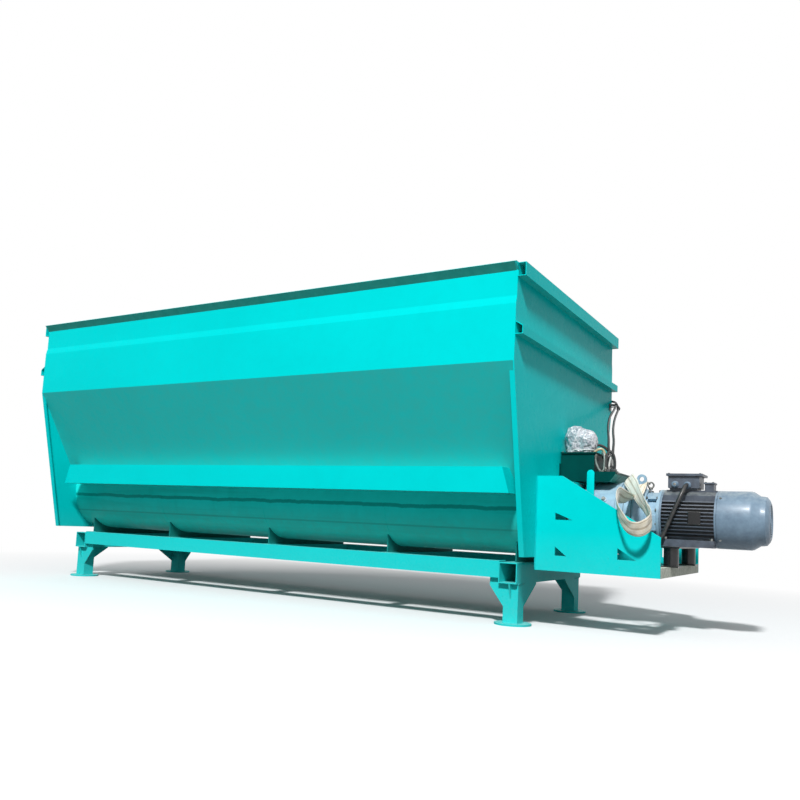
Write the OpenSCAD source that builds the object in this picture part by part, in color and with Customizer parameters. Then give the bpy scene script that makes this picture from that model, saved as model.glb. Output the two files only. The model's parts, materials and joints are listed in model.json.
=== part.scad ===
// Stationary feed mixer: a long steel hopper on four legs with two lying augers in a
// trough of two arcs, driven by an electric gear motor on a mount at one end, and
// emptied through a door on the far side that a hydraulic cylinder opens.
// X runs along the body towards the motor, the photographed side is -Y, Z is up.

/* [Body] */
// Length of the body over the outer faces of its end plates
body_l = 4500; // [3900:50:5400]
// Height of the rim over the floor
rim_h = 2225; // [2120:5:2600]
// Width of the body at its mouth, outside the skin
mouth_w = 2096; // [1900:2:2300]
// Width of the body at the knee, where the sides start to slope in
knee_w = 2126; // [1940:2:2330]
// Height of the knee over the floor
knee_h = 1617; // [1500:1:1700]
// Width of the end plates at their bottom edge
plate_foot_w = 1608; // [1500:2:1800]
// Height of the bottom edge of the end plates over the floor
plate_foot_h = 441; // [425:1:470]
// Thickness of the end plates
plate_t = 8; // [6:1:12]
// Thickness of the side shells
skin_t = 5; // [4:1:8]
// Height of the flared lip along the rim
lip_h = 50; // [30:1:70]
// Reach of the flared lip past the mouth
lip_out = 40; // [20:1:60]
// Width of the turned edge on the end plates
plate_edge = 25; // [15:1:40]
// Share of the way from knee to rim at which the upper fold starts
fold_low_at = 0.58; // [0.5:0.01:0.62]
// Share of the way from knee to rim at which the upper fold ends
fold_top_at = 0.663; // [0.64:0.001:0.75]

/* [Trough and augers] */
// Distance between the two auger shafts
shaft_gap = 600; // [600:2:640]
// Height of the auger shafts over the floor
shaft_h = 773; // [765:1:790]
// Inner radius of each trough arc
trough_r = 320; // [310:1:324]
// Thickness of the trough plate
trough_t = 8; // [6:1:10]
// Radius of the auger tubes
tube_r = 80; // [60:1:100]
// Radius of the shaft ends that run in the bearings
stub_r = 45; // [35:1:50]
// Radius of the flights at the tips of their teeth
tooth_r = 294; // [270:1:297]
// Depth of the teeth on the flights
tooth_d = 16; // [8:1:24]
// Pitch of the flights
flight_pitch = 500; // [400:10:600]
// Thickness of the flights
flight_t = 10; // [8:1:14]

/* [Rails and beams] */
// Height of the top rail on each end plate
top_rail_h = 85; // [60:1:110]
// Depth of the top rail, out from the end plate
top_rail_d = 52; // [40:1:70]
// Share of the way from knee to rim at which the middle rail starts
mid_rail_at = 0.265; // [0.15:0.005:0.4]
// Height of the middle rail at the end plate
mid_rail_h = 82; // [60:1:100]
// Depth of the middle rail, out from the end plate
mid_rail_d = 48; // [35:1:60]
// Wall of the rails
rail_t = 4; // [3:1:6]
// Width over the two side beams
beam_w = 1652; // [1560:2:1760]
// Height of the lower face of the side beams over the floor
beam_z = 832; // [810:1:850]
// Height of the outer face of the side beams
beam_h = 165; // [120:1:200]
// Set-back of the side beams from the end plates, along their lower edge
beam_back = 105; // [80:5:250]

/* [Base frame] */
// Height of the lower face of the side tubes over the floor
side_tube_z = 295; // [285:1:300]
// Height of the side tubes
side_tube_h = 107; // [90:1:120]
// Width of the side tubes
side_tube_w = 100; // [80:1:120]
// Width over the two side tubes
frame_w = 1300; // [1240:2:1360]
// Set-back of the cross tubes at the ends from the end plates
frame_back = 103; // [60:1:250]
// Width of the cross tubes along the body
cross_w = 125; // [110:1:140]
// Height of the lower face of the cross tubes over the floor
cross_z = 262; // [255:1:280]
// Height of the cross tubes
cross_h = 133; // [110:1:140]
// Wall of the frame tubes
frame_t = 6; // [4:1:8]
// Width of the square leg posts
post_w = 100; // [80:1:110]
// Distance between the leg posts across the body
leg_gap = 1144; // [1100:2:1180]
// Diameter of the round foot pads
pad_d = 240; // [230:2:280]
// Thickness of the foot pads
pad_t = 12; // [10:1:20]
// Diameter of the anchor holes in the foot pads
anchor_d = 18; // [14:1:20]

/* [Drive] */
// Length of the motor mount, out from the end plate
mount_l = 770; // [740:5:800]
// Width over the two cheeks of the motor mount
mount_w = 1240; // [1180:2:1280]
// Thickness of the cheeks
cheek_t = 12; // [8:1:16]
// Height of the motor axis over the floor
drive_h = 731; // [720:1:740]
// Diameter of the motor over its fins
motor_d = 364; // [340:2:368]
// Diameter of the fan cowl
cowl_d = 368; // [350:2:380]
// Diameter of the gear head
gear_d = 444; // [420:2:460]

/* [Discharge] */
// Distance of the door's middle from the middle of the body
door_x = 1600; // [1500:10:1650]
// Width of the discharge opening
door_w = 700; // [560:10:760]
// Height of the door hinge over the floor
hinge_z = 813; // [808:1:815]
// Distance of the door hinge from the middle of the body
hinge_y = 700; // [690:1:715]
// Length of the door from its hinge
door_l = 345; // [320:1:350]
// Thickness of the door
door_t = 8; // [6:1:12]

/* [Hidden] */

$fn = 64;
clearance = 0.3;
teal = [0.0, 0.84, 0.83];
deep_teal = [0.02, 0.55, 0.53];
dark_green = [0.02, 0.3, 0.27];
motor_grey = [0.5, 0.62, 0.69];
gear_grey = [0.56, 0.67, 0.73];
steel = [0.6, 0.6, 0.6];
black = [0.08, 0.08, 0.09];

// Places that follow from the sizes
half_l = body_l / 2;
inner_l = half_l - plate_t;
rear_reach = half_l + top_rail_d;
fold_low = knee_h + fold_low_at * (rim_h - knee_h);
fold_top = knee_h + fold_top_at * (rim_h - knee_h);
mid_rail_z = knee_h + mid_rail_at * (rim_h - knee_h);
frame_l = body_l - 2 * frame_back;
beam_l = body_l - 2 * beam_back;
// The square end of the lip stands this much higher than its outer corner
lip_rise = skin_t * lip_out / norm([lip_out, lip_h]);
band_w = (mouth_w + knee_w) / 2 + 9;
trough_y = shaft_gap / 2 + trough_r + trough_t;
trough_top = shaft_h + 87;
trough_low = shaft_h - trough_r - trough_t;
side_line = [
    [mouth_w / 2 + lip_out, rim_h - lip_rise],
    [mouth_w / 2, rim_h - lip_h],
    [mouth_w / 2, fold_top],
    [band_w / 2, fold_low],
    [knee_w / 2, knee_h],
    [trough_y, trough_top]
];
cross_x = frame_l / 2 - cross_w / 2;
leg_x = frame_l / 2 - post_w / 2;
leg_y = leg_gap / 2;
tube_y = frame_w / 2 - side_tube_w / 2;
side_tube_l = frame_l / 2 - cross_w;
cross_y = frame_w / 2 + 5;
frame_top = side_tube_z + side_tube_h;

// Drive line, each value counted from the outer face of the drive end plate
case_l = 155;
head_l = 400;
bell_l = 105;
motor_l = 345;
cowl_l = 295;
case_x = half_l;
head_x = case_x + case_l;
bell_x = head_x + head_l;
motor_x = bell_x + bell_l;
cowl_x = motor_x + motor_l;
drive_reach = cowl_x + cowl_l;
mount_x = half_l + mount_l;
mount_z = 362;
cheek_y = mount_w / 2;
end_bar_h = 60;
end_bar_w = 100;
origin_x = (drive_reach - rear_reach) / 2;

// Discharge door and its cylinder
gate_x0 = door_x - door_w / 2;
gate_x1 = door_x + door_w / 2;
door_lean = 24;
arm_pin = [hinge_y + 100, hinge_z - 173];
cyl_pin_gap = 51;
cyl_pin_z = hinge_z + 667;
cyl_pin = [panel_y(cyl_pin_z) + cyl_pin_gap, cyl_pin_z];
cyl_len = norm(cyl_pin - arm_pin);
cyl_lean = atan2(cyl_pin[0] - arm_pin[0], cyl_pin[1] - arm_pin[1]);
barrel_r = 32;
rod_r = 13;
pin_r = 12.5;
barrel_top = 62;
barrel_l = 520;
head_port_z = 95;
pipe_port_z = 135;
base_port_z = 480;
port_out = 18;
pipe_r = 5;
// End of the port that lies down the cylinder at a distance from its upper pin
function port_place(down) = [
    door_x + barrel_r + port_out + clearance,
    cyl_pin[0] - down * sin(cyl_lean), cyl_pin[1] - down * cos(cyl_lean)
];

// The right-hand unit normal of stretch i of a line of points
function side_normal(p, i) =
    let (d = (p[i + 1] - p[i]) / norm(p[i + 1] - p[i])) [d[1], -d[0]];

// Point i of the same line, moved t to its right with mitred corners
function inset_point(p, i, t) =
    let (a = side_normal(p, max(i - 1, 0)), b = side_normal(p, min(i, len(p) - 2)))
    p[i] + t * (a + b) / (1 + a * b);

// Outline of a sheet of thickness t bent along a line of points
function bent_sheet(p, t) =
    concat(p, [for (i = [len(p) - 1:-1:0]) inset_point(p, i, t)]);

// Distance of the sloped panel from the middle of the body at height z
function panel_y(z) =
    knee_w / 2 - (knee_h - z) * (knee_w / 2 - trough_y) / (knee_h - trough_top);

// Half width of the end plates between the knee and the fold
function plate_y(z) =
    (knee_w + (band_w - knee_w) * (z - knee_h) / (fold_low - knee_h)) / 2;

module in_place() { translate([-origin_x, 0, 0]) children(); }

// Extrude a drawing of the YZ plane along X
module along_x(x0, x1) {
    translate([x0, 0, 0]) rotate([90, 0, 90]) linear_extrude(x1 - x0) children();
}

// Extrude a drawing of the XZ plane along Y
module along_y(y0, y1) {
    translate([0, y1, 0]) rotate([90, 0, 0]) linear_extrude(y1 - y0) children();
}

module block(x, y, z) {
    translate([x[0], y[0], z[0]]) cube([x[1] - x[0], y[1] - y[0], z[1] - z[0]]);
}

// A turned shape on the motor axis; its points are [place along X, radius]
module turned(points) {
    translate([0, 0, drive_h]) rotate([0, 90, 0]) rotate_extrude()
        polygon(concat([[0, points[0][0]]], [for (p = points) [p[1], p[0]]],
                       [[0, points[len(points) - 1][0]]]));
}

module rod_x(x0, x1, y, z, r) {
    translate([x0, y, z]) rotate([0, 90, 0]) cylinder(h = x1 - x0, r = r);
}

// A smooth curve through the rows a, b, c and d, for t from 0 to 1 between b and c
function between(a, b, c, d, t) =
    0.5 * (2 * b + (c - a) * t + (2 * a - 5 * b + 4 * c - d) * t * t
           + (3 * b - a - 3 * c + d) * t * t * t);
function smooth(p, steps) =
    let (n = len(p) - 1)
    [for (i = [0:n - 1], k = [0:steps - 1])
        between(p[max(i - 1, 0)], p[i], p[i + 1], p[min(i + 2, n)], k / steps), p[n]];

// A round tube swept along a route of points
function route_dir(p, i) =
    let (a = p[max(i - 1, 0)], b = p[min(i + 1, len(p) - 1)]) (b - a) / norm(b - a);
function route_ring(p, i, r, sides) =
    let (d = route_dir(p, i),
         e = abs(d[2]) < 0.9 ? [0, 0, 1] : [1, 0, 0],
         u = cross(d, e) / norm(cross(d, e)),
         v = cross(d, u))
    [for (k = [0:sides - 1]) p[i] + r * (cos(360 * k / sides) * u + sin(360 * k / sides) * v)];

module tube_along(p, r, sides = 10) {
    n = len(p);
    rings = [for (i = [0:n - 1]) each route_ring(p, i, r, sides)];
    walls = [for (i = [0:n - 2], k = [0:sides - 1])
        [i * sides + k, i * sides + (k + 1) % sides,
         (i + 1) * sides + (k + 1) % sides, (i + 1) * sides + k]];
    ends = [[for (k = [sides - 1:-1:0]) k], [for (k = [0:sides - 1]) (n - 1) * sides + k]];
    polyhedron(points = rings, faces = concat(walls, ends));
}

// A flat band swept round a closed route; each row holds the place of its middle, the
// direction of its width, its half width and its half thickness
function row_at(rows, u) =
    let (n = len(rows), i = floor(u))
    between(rows[(i + n - 1) % n], rows[(i + n) % n], rows[(i + 1) % n], rows[(i + 2) % n], u - i);
function three(v, i) = [v[i], v[i + 1], v[i + 2]];
function band_ring(rows, u) =
    let (v = row_at(rows, u),
         step = three(row_at(rows, u + 0.05), 0) - three(row_at(rows, u - 0.05), 0),
         d = step / norm(step),
         e = three(v, 3) - (three(v, 3) * d) * d,
         w = v[6] * e / norm(e),
         t = v[7] * cross(d, e) / norm(e))
    [three(v, 0) + w + t, three(v, 0) - w + t, three(v, 0) - w - t, three(v, 0) + w - t];

module band_along(rows, steps) {
    n = len(rows) * steps;
    rings = [for (k = [0:n - 1]) each band_ring(rows, k / steps)];
    walls = [for (i = [0:n - 1], k = [0:3])
        let (a = i * 4 + k, b = i * 4 + (k + 1) % 4,
             c = (i + 1) % n * 4 + (k + 1) % 4, d = (i + 1) % n * 4 + k)
        each [[a, b, c], [a, c, d]]];
    polyhedron(points = rings, faces = walls);
}

// End plates
plate_edge_share = 0.95;
module end_plate() {
    corner = [plate_foot_w / 2, plate_foot_h];
    knee = [knee_w / 2, knee_h];
    edge_top = corner + (knee - corner) * plate_edge_share;
    half = [corner, knee, [band_w / 2, fold_low], [mouth_w / 2, fold_top], [mouth_w / 2, rim_h]];
    outline = concat(half, [for (i = [len(half) - 1:-1:0]) [-half[i][0], half[i][1]]]);
    difference() {
        union() {
            along_x(inner_l, half_l) polygon(outline);
            for (m = [0, 1]) mirror([0, m, 0])
                along_x(inner_l - plate_edge, inner_l)
                    polygon(bent_sheet([edge_top, corner], plate_t));
        }
        for (y = [-1, 1]) rod_x(inner_l - 1, half_l + 1, y * shaft_gap / 2, shaft_h, stub_r + 12);
    }
}
module end_plate_rear() { color(teal) in_place() mirror([1, 0, 0]) end_plate(); }
module end_plate_drive() { color(teal) in_place() end_plate(); }

// Side shells, folded from one sheet each
module side_shell() { along_x(-inner_l, inner_l) polygon(bent_sheet(side_line, skin_t)); }
module side_shell_near() { color(teal) in_place() mirror([0, 1, 0]) side_shell(); }
module side_shell_far() { color(teal) in_place() side_shell(); }

// Trough of two arcs with a ridge between the augers
module trough_outline(r) {
    for (y = [-1, 1]) translate([y * shaft_gap / 2, shaft_h]) circle(r = r, $fn = 128);
    translate([-shaft_gap / 2 - r, shaft_h]) square([shaft_gap + 2 * r, trough_top - shaft_h]);
}
module trough() {
    color(deep_teal) in_place() difference() {
        along_x(-inner_l, inner_l) difference() {
            intersection() {
                trough_outline(trough_r + trough_t);
                translate([-trough_y, 0]) square([2 * trough_y, trough_top]);
            }
            trough_outline(trough_r);
            translate([-shaft_gap / 2 - trough_r, shaft_h])
                square([shaft_gap + 2 * trough_r, trough_r * 2]);
        }
        block([gate_x0, gate_x1], [shaft_gap / 2, trough_y + 10], [gate_low, gate_high]);
    }
}
gate_low = hinge_z - 283;
gate_high = hinge_z - 23;

// Side beams under the slope
beam_taper = 50;
module beam() {
    top = beam_z + beam_h;
    wall = trough_y + clearance;
    intersection() {
        along_x(-half_l, half_l) polygon([
            [panel_y(top) + clearance, top], [beam_w / 2, top], [beam_w / 2, beam_z],
            [wall, beam_z], [wall, trough_top]
        ]);
        along_y(0, beam_w) polygon([
            [-beam_l / 2, beam_z], [beam_l / 2, beam_z],
            [beam_l / 2 - beam_taper, top], [-beam_l / 2 + beam_taper, top]
        ]);
    }
}
module beam_near() { color(teal) in_place() mirror([0, 1, 0]) beam(); }
module beam_far() { color(teal) in_place() beam(); }

// Rails on the end plates, open at their ends
rail_back = 3;
module top_rail() {
    reach = mouth_w / 2 - rail_back;
    difference() {
        block([half_l, rear_reach], [-reach, reach], [rim_h - top_rail_h, rim_h]);
        block([half_l + rail_t, rear_reach - rail_t], [-mouth_w, mouth_w],
              [rim_h - top_rail_h + rail_t, rim_h - rail_t]);
    }
}
module top_rails() {
    color(teal) in_place() for (m = [0, 1]) mirror([m, 0, 0]) top_rail();
}
module mid_rail() {
    top = mid_rail_z + mid_rail_h;
    reach = min(plate_y(mid_rail_z), plate_y(top)) - rail_back;
    outline = [
        [half_l - mid_rail_d, top + mid_rail_fall], [half_l + mid_rail_d, top - mid_rail_fall],
        [half_l + mid_rail_d, mid_rail_z], [half_l, mid_rail_z]
    ];
    along_y(-reach, reach) intersection() {
        polygon(bent_sheet(outline, rail_t));
        translate([half_l, mid_rail_z]) square([mid_rail_d, mid_rail_h]);
    }
}
mid_rail_fall = 30;
module mid_rails() {
    color(teal) in_place() for (m = [0, 1]) mirror([m, 0, 0]) mid_rail();
}

// Base frame
module box_tube_y(x, z, y) {
    difference() {
        block(x, [-y, y], z);
        block([x[0] + frame_t, x[1] - frame_t], [-y - 1, y + 1], [z[0] + frame_t, z[1] - frame_t]);
    }
}
module base_tube() {
    difference() {
        block([-side_tube_l, side_tube_l], [tube_y - side_tube_w / 2, tube_y + side_tube_w / 2],
              [side_tube_z, frame_top]);
        block([-side_tube_l - 1, side_tube_l + 1],
              [tube_y - side_tube_w / 2 + frame_t, tube_y + side_tube_w / 2 - frame_t],
              [side_tube_z + frame_t, frame_top - frame_t]);
    }
}
module base_tube_near() { color(teal) in_place() mirror([0, 1, 0]) base_tube(); }
module base_tube_far() { color(teal) in_place() base_tube(); }
module cross_tubes() {
    color(teal) in_place() for (m = [0, 1]) mirror([m, 0, 0])
        box_tube_y([cross_x - cross_w / 2, cross_x + cross_w / 2], [cross_z, cross_z + cross_h],
                   cross_y);
}
member_pitch = 1100;
member_places = [-member_pitch, 0, member_pitch];
member_w = 80;
member_rise = 10;
module cross_members() {
    inside = tube_y - side_tube_w / 2;
    color(teal) in_place() for (x = member_places)
        box_tube_y([x - member_w / 2, x + member_w / 2], [side_tube_z + member_rise, frame_top],
                   inside);
}

// Saddles between the frame and the trough
saddle_out = 220;
saddle_drop = 230;
saddle_t = 10;
module saddle_profile(low) {
    difference() {
        translate([-shaft_gap / 2 - saddle_out, low])
            square([shaft_gap + 2 * saddle_out, shaft_h - saddle_drop - low]);
        trough_outline(trough_r + trough_t);
    }
}
module saddles() {
    color(deep_teal) in_place() {
        for (x = member_places)
            along_x(x - saddle_t / 2, x + saddle_t / 2) saddle_profile(frame_top);
        for (s = [-1, 1]) translate([s * cross_x, 0, 0])
            along_x(-saddle_t / 2, saddle_t / 2) saddle_profile(cross_z + cross_h);
    }
}

// Legs, each a square post with gussets under the tubes
gusset_t = 10;
gusset_foot = 115;
side_gusset = 96;
side_gusset_drop = 20;
inner_gusset = 220;
inner_gusset_drop = 12;
outer_gusset_drop = 95;
module leg() {
    x0 = leg_x - post_w / 2;
    x1 = leg_x + post_w / 2;
    y0 = leg_y - post_w / 2;
    y1 = leg_y + post_w / 2;
    tube_x = cross_x - cross_w / 2;
    block([x0, x1], [y0, y1], [pad_t, cross_z]);
    along_y(y1 - gusset_t, y1) polygon([
        [x0, gusset_foot], [x0, cross_z], [tube_x, cross_z], [tube_x, side_tube_z],
        [x0 - side_gusset, side_tube_z], [x0 - side_gusset, cross_z - side_gusset_drop]
    ]);
    along_x(x1 - gusset_t, x1) polygon([
        [y0, gusset_foot], [y0, cross_z], [y0 - inner_gusset, cross_z],
        [y0 - inner_gusset, cross_z - inner_gusset_drop]
    ]);
    along_x(leg_x - gusset_t / 2, leg_x + gusset_t / 2) polygon([
        [y1, cross_z - outer_gusset_drop], [y1, cross_z], [cross_y, cross_z]
    ]);
}
module leg_near_rear() { color(teal) in_place() mirror([1, 0, 0]) mirror([0, 1, 0]) leg(); }
module leg_near_drive() { color(teal) in_place() mirror([0, 1, 0]) leg(); }
module leg_far_rear() { color(teal) in_place() mirror([1, 0, 0]) leg(); }
module leg_far_drive() { color(teal) in_place() leg(); }
anchor_pcd = 190;
module foot_pads() {
    color(teal) in_place() for (sx = [-1, 1], sy = [-1, 1]) translate([sx * leg_x, sy * leg_y, 0])
        difference() {
            cylinder(h = pad_t, d = pad_d);
            for (a = [45:90:315]) rotate(a) translate([anchor_pcd / 2, 0, -1])
                cylinder(h = pad_t + 2, d = anchor_d);
        }
}

// Motor mount: two cheeks with triangular cut-outs and the bars between them
// Cut-outs: place along X from the end plate, rise over the mount, width and height of each
cut_outs = [
    [127, 319, 114, 45],
    [130, 96, 74, 57],
    [519, 95, 114, 69]
];
cheek_top = 957;
cheek_flat = 168;
cheek_nose = 602;
module cheek() {
    along_y(cheek_y - cheek_t, cheek_y) difference() {
        polygon([
            [half_l, mount_z], [mount_x, mount_z], [mount_x, cheek_nose],
            [half_l + cheek_flat, cheek_top], [half_l, cheek_top]
        ]);
        for (c = cut_outs) translate([half_l + c[0], mount_z + c[1]])
            polygon([[0, 0], [c[2], 0], [0, c[3]]]);
    }
}
module mount_cheek_near() { color(teal) in_place() mirror([0, 1, 0]) cheek(); }
module mount_cheek_far() { color(teal) in_place() cheek(); }
module mount_bars() {
    inside = cheek_y - cheek_t;
    color(teal) in_place() {
        for (x = [half_l, mount_x - end_bar_w])
            block([x, x + end_bar_w], [-inside, inside], [mount_z, mount_z + end_bar_h]);
        for (s = [-1, 1]) block([half_l + end_bar_w, mount_x - end_bar_w],
            [s * pillar_y - long_bar_w / 2, s * pillar_y + long_bar_w / 2],
            [mount_z, mount_z + end_bar_h]);
    }
}

// Pillars that carry the front feet of the motor
long_bar_w = 80;
pillar_y = 280;
pillar_r = 45;
pillar_x = mount_x - 8;
pillar_pad = 60;
pad_plate_t = 8;
foot_plate_t = 10;
foot_z = drive_h - motor_d / 2 - clearance;
pillar_low = mount_z + end_bar_h + pad_plate_t;
module motor_pillars() {
    color(black) in_place() {
        for (s = [-1, 1]) {
            block([mount_x - end_bar_w, pillar_x + pillar_r + pad_plate_t],
                  [s * pillar_y - pillar_pad, s * pillar_y + pillar_pad],
                  [mount_z + end_bar_h, pillar_low]);
            translate([pillar_x, s * pillar_y, pillar_low])
                cylinder(h = foot_z - foot_plate_t - pillar_low, r = pillar_r);
        }
        block([pillar_x - pillar_pad, pillar_x + pillar_pad],
              [-pillar_y - pillar_pad, pillar_y + pillar_pad], [foot_z - foot_plate_t, foot_z]);
    }
}

// Gear case that links the motor to both shafts
case_r = 170;
stub_in = 90;
module gear_case() {
    color(teal) in_place() difference() {
        union() {
            along_x(half_l, head_x - 20) {
                for (s = [-1, 1]) translate([s * shaft_gap / 2, shaft_h]) circle(r = case_r);
                translate([-shaft_gap / 2, shaft_h - case_r]) square([shaft_gap, 2 * case_r]);
            }
            rod_x(head_x - 21, head_x, 0, drive_h, 150);
        }
        for (s = [-1, 1])
            rod_x(half_l - 1, half_l + stub_in + 10, s * shaft_gap / 2, shaft_h, stub_r + 0.1);
    }
}

// Gear head, bell housing and motor on one axis
module gear_head() {
    r = gear_d / 2;
    color(gear_grey) in_place() turned([
        [head_x, r - 12], [head_x + 12, r], [head_x + 235, r], [head_x + 235, r + 8],
        [head_x + 251, r + 8], [head_x + 251, r - 4], [head_x + 350, r - 4],
        [bell_x, r - 40]
    ]);
    color(gear_grey) in_place() along_y(-eye_t / 2, eye_t / 2) difference() {
        translate([eye_x - eye_r, eye_z - eye_foot]) square([2 * eye_r, eye_foot]);
        translate([eye_x, eye_z]) circle(r = eye_hole_r);
    }
    color(gear_grey) in_place() along_y(-eye_t / 2, eye_t / 2) difference() {
        intersection() {
            translate([eye_x, eye_z]) circle(r = eye_r);
            translate([eye_x - eye_r, eye_z]) square([2 * eye_r, eye_r]);
        }
        translate([eye_x, eye_z]) circle(r = eye_hole_r);
    }
}
eye_x = bell_x - 45;
eye_z = 985;
eye_t = 18;
eye_r = 32;
eye_foot = 60;
eye_hole_r = 16;
bell_r = 184;
module bell_housing() {
    color(gear_grey) in_place() difference() {
        turned([
            [bell_x, bell_r], [bell_x + 14, bell_r], [bell_x + 14, bell_r - 16],
            [motor_x - 16, bell_r - 16], [motor_x - 16, bell_r], [motor_x, bell_r]
        ]);
        translate([0, 0, drive_h]) for (a = [0:60:300]) rotate([a, 0, 0])
            block([bell_x + 24, motor_x - 24], [-42, 42], [bell_r - 50, bell_r + 10]);
    }
}
fin_pitch = 22.5;
fin_fall = 8;
fin_t = 7;
fin_rows = 5;
motor_core_r = 156;
motor_back_w = 220;
motor_foot_y = 140;
motor_foot_w = 90;
motor_foot_h = 45;
motor_seat_w = 130;
module motor_body() {
    r = motor_d / 2;
    color(motor_grey) in_place() {
        along_x(motor_x, cowl_x) translate([0, drive_h]) union() {
            circle(r = motor_core_r);
            intersection() {
                circle(r = r);
                union() {
                    for (k = [-fin_rows:fin_rows])
                        translate([-r, k * fin_pitch - fin_fall - fin_t / 2]) square([2 * r, fin_t]);
                    translate([-motor_back_w / 2, -r]) square([motor_back_w, 2 * r]);
                }
            }
        }
        for (s = [-1, 1]) translate([0, s * motor_foot_y, 0])
            block([motor_x + 20, cowl_x - 10], [-motor_foot_w / 2, motor_foot_w / 2],
                  [foot_z, foot_z + motor_foot_h]);
        block([motor_x + 25, motor_x + 335], [-motor_seat_w / 2, motor_seat_w / 2],
              [drive_h + motor_core_r, drive_h + r - clearance]);
    }
}
module fan_cowl() {
    r = cowl_d / 2;
    color(motor_grey) in_place() turned([
        [cowl_x, r], [cowl_x + 185, r], [cowl_x + 240, r - 30], [cowl_x + 252, r - 30],
        [drive_reach - 22, r - 34], [drive_reach, r - 74]
    ]);
}
// Stages of the terminal boxes from the bottom up: start and end along X from the motor's
// flange, half width, lowest and highest place over the motor
box_stages = [
    [45, 215, 70, 0, 12],
    [37, 230, 85, 12, 90],
    [27, 250, 100, 90, 105],
    [256, 311, 45, 0, 42],
    [251, 316, 52, 42, 52]
];
module terminal_box() {
    color(motor_grey) in_place() translate([motor_x, 0, drive_h + motor_d / 2])
        for (b = box_stages) block([b[0], b[1]], [-b[2], b[2]], [b[3], b[4]]);
}

// Hydraulic unit over the gear head
shelf_z = drive_h + gear_d / 2 + 9;
tank_h = 188;
tank_w = 400;
tank_l = 250;
unit_l = 385;
shelf_t = 8;
tray_t = 4;
tray_h = 57;
tray_nose = 16;
tray_cut = 38;
tank_rim = 12;
module tank_shelf() {
    x0 = half_l + tank_l + 2 * clearance;
    x1 = half_l + unit_l;
    y = tank_w / 2;
    color(dark_green) in_place() {
        block([half_l, half_l + shelf_t], [-y, y], [shaft_h + case_r + clearance, shelf_z + 110]);
        block([half_l + shelf_t, x0], [-y, y], [shelf_z - shelf_t, shelf_z]);
        difference() {
            tray(x0, x1, -y, y, shelf_z - shelf_t);
            tray(x0 + tray_t, x1 - tray_t, -y + tray_t, y - tray_t, shelf_z);
        }
    }
}
// The tray under the valves, with its outer lower edge cut off at a slant
module tray(x0, x1, y0, y1, low) {
    top = shelf_z + tray_h;
    along_y(y0, y1) polygon([
        [x0, low], [x1 - tray_cut, low], [x1, top - tray_nose], [x1, top + low - shelf_z + shelf_t],
        [x0, top + low - shelf_z + shelf_t]
    ]);
}
module oil_tank() {
    y = tank_w / 2;
    x = half_l + shelf_t;
    color(dark_green) in_place() {
        block([x, half_l + tank_l - tank_rim], [-y + tank_rim, y - tank_rim],
              [shelf_z, shelf_z + tank_h - shelf_t]);
        block([x, half_l + tank_l], [-y, y], [shelf_z + tank_h - shelf_t, shelf_z + tank_h]);
    }
}
valve_x = half_l + tank_l + 50;
valve_w = 70;
valve_h = 75;
valve_y = -50;
valve_l = 220;
lever_pitch = 60;
lever_h = 85;
module valve_block() {
    color(black) in_place() translate([valve_x, valve_y, shelf_z]) {
        block([-valve_w / 2, valve_w / 2], [-valve_l / 2, valve_l / 2], [0, valve_h]);
        for (k = [-1:1]) translate([-valve_w / 4, k * lever_pitch, valve_h]) {
            cylinder(h = lever_h, r = 7);
            translate([0, 0, lever_h]) sphere(r = 14);
        }
        for (y = port_rows) translate([port_x - valve_x, y, valve_h])
            cylinder(h = port_h, r = port_r);
    }
}
// Two lobes of the wrapped pump motor: place along X, radius and height of its ball
lobes = [
    [100, 82, 112],
    [172, 74, 92]
];
module pump_motor() {
    color([0.85, 0.87, 0.88]) in_place() for (b = lobes)
        translate([half_l + b[0], -tank_w / 4, shelf_z + tank_h]) {
            cylinder(h = b[2], r = b[1]);
            translate([0, 0, b[2]]) sphere(r = b[1]);
        }
}

// Hoses from the valves to the door cylinder, and the motor cable
port_x = valve_x + valve_w / 4;
port_rows = [-30, 30];
port_h = 30;
port_r = 13;
hose_d = 18;
hose_low = shelf_z + valve_h + port_h + clearance;
upper_hose = [
    [port_x, -20, hose_low], [port_x, -20, 1090], [port_x, -20, 1115], [port_x - 8, 5, 1180],
    [2530, 130, 1255],
    [2460, 360, 1365], [2390, 640, 1475], [2345, 860, 1560], [2322, 1010, 1630],
    [2300, 1085, 1672], [2240, 1100, 1680], [2150, 1100, 1676], [2050, 1098, 1660],
    [1950, 1096, 1635], [1850, 1094, 1600], [1765, 1080, 1545], [1705, 1055, 1470],
    port_place(head_port_z) + [34, 4, 12], port_place(head_port_z) + [20, 0, 0],
    port_place(head_port_z) + [10, 0, 0], port_place(head_port_z)
];
lower_hose = [
    [port_x, -80, hose_low], [port_x, -80, 1090], [port_x, -80, 1125], [port_x - 25, -45, 1190],
    [2505, 90, 1270],
    [2430, 330, 1385], [2362, 610, 1500], [2325, 850, 1590], [2303, 1010, 1662],
    [2280, 1087, 1702], [2225, 1106, 1712], [2140, 1106, 1708], [2030, 1104, 1690],
    [1930, 1106, 1660], [1840, 1108, 1632], [1768, 1106, 1578], [1722, 1086, 1500],
    [1702, 1050, 1420], port_place(pipe_port_z) + [34, 6, 16],
    port_place(pipe_port_z) + [20, 0, 0], port_place(pipe_port_z) + [10, 0, 0],
    port_place(pipe_port_z)
];
module door_hoses() {
    color(black) in_place() {
        tube_along(smooth(upper_hose, 2), hose_d / 2);
        tube_along(smooth(lower_hose, 2), hose_d / 2);
    }
}
cable_d = 26;
cable_end = mount_z + end_bar_h + clearance;
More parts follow.
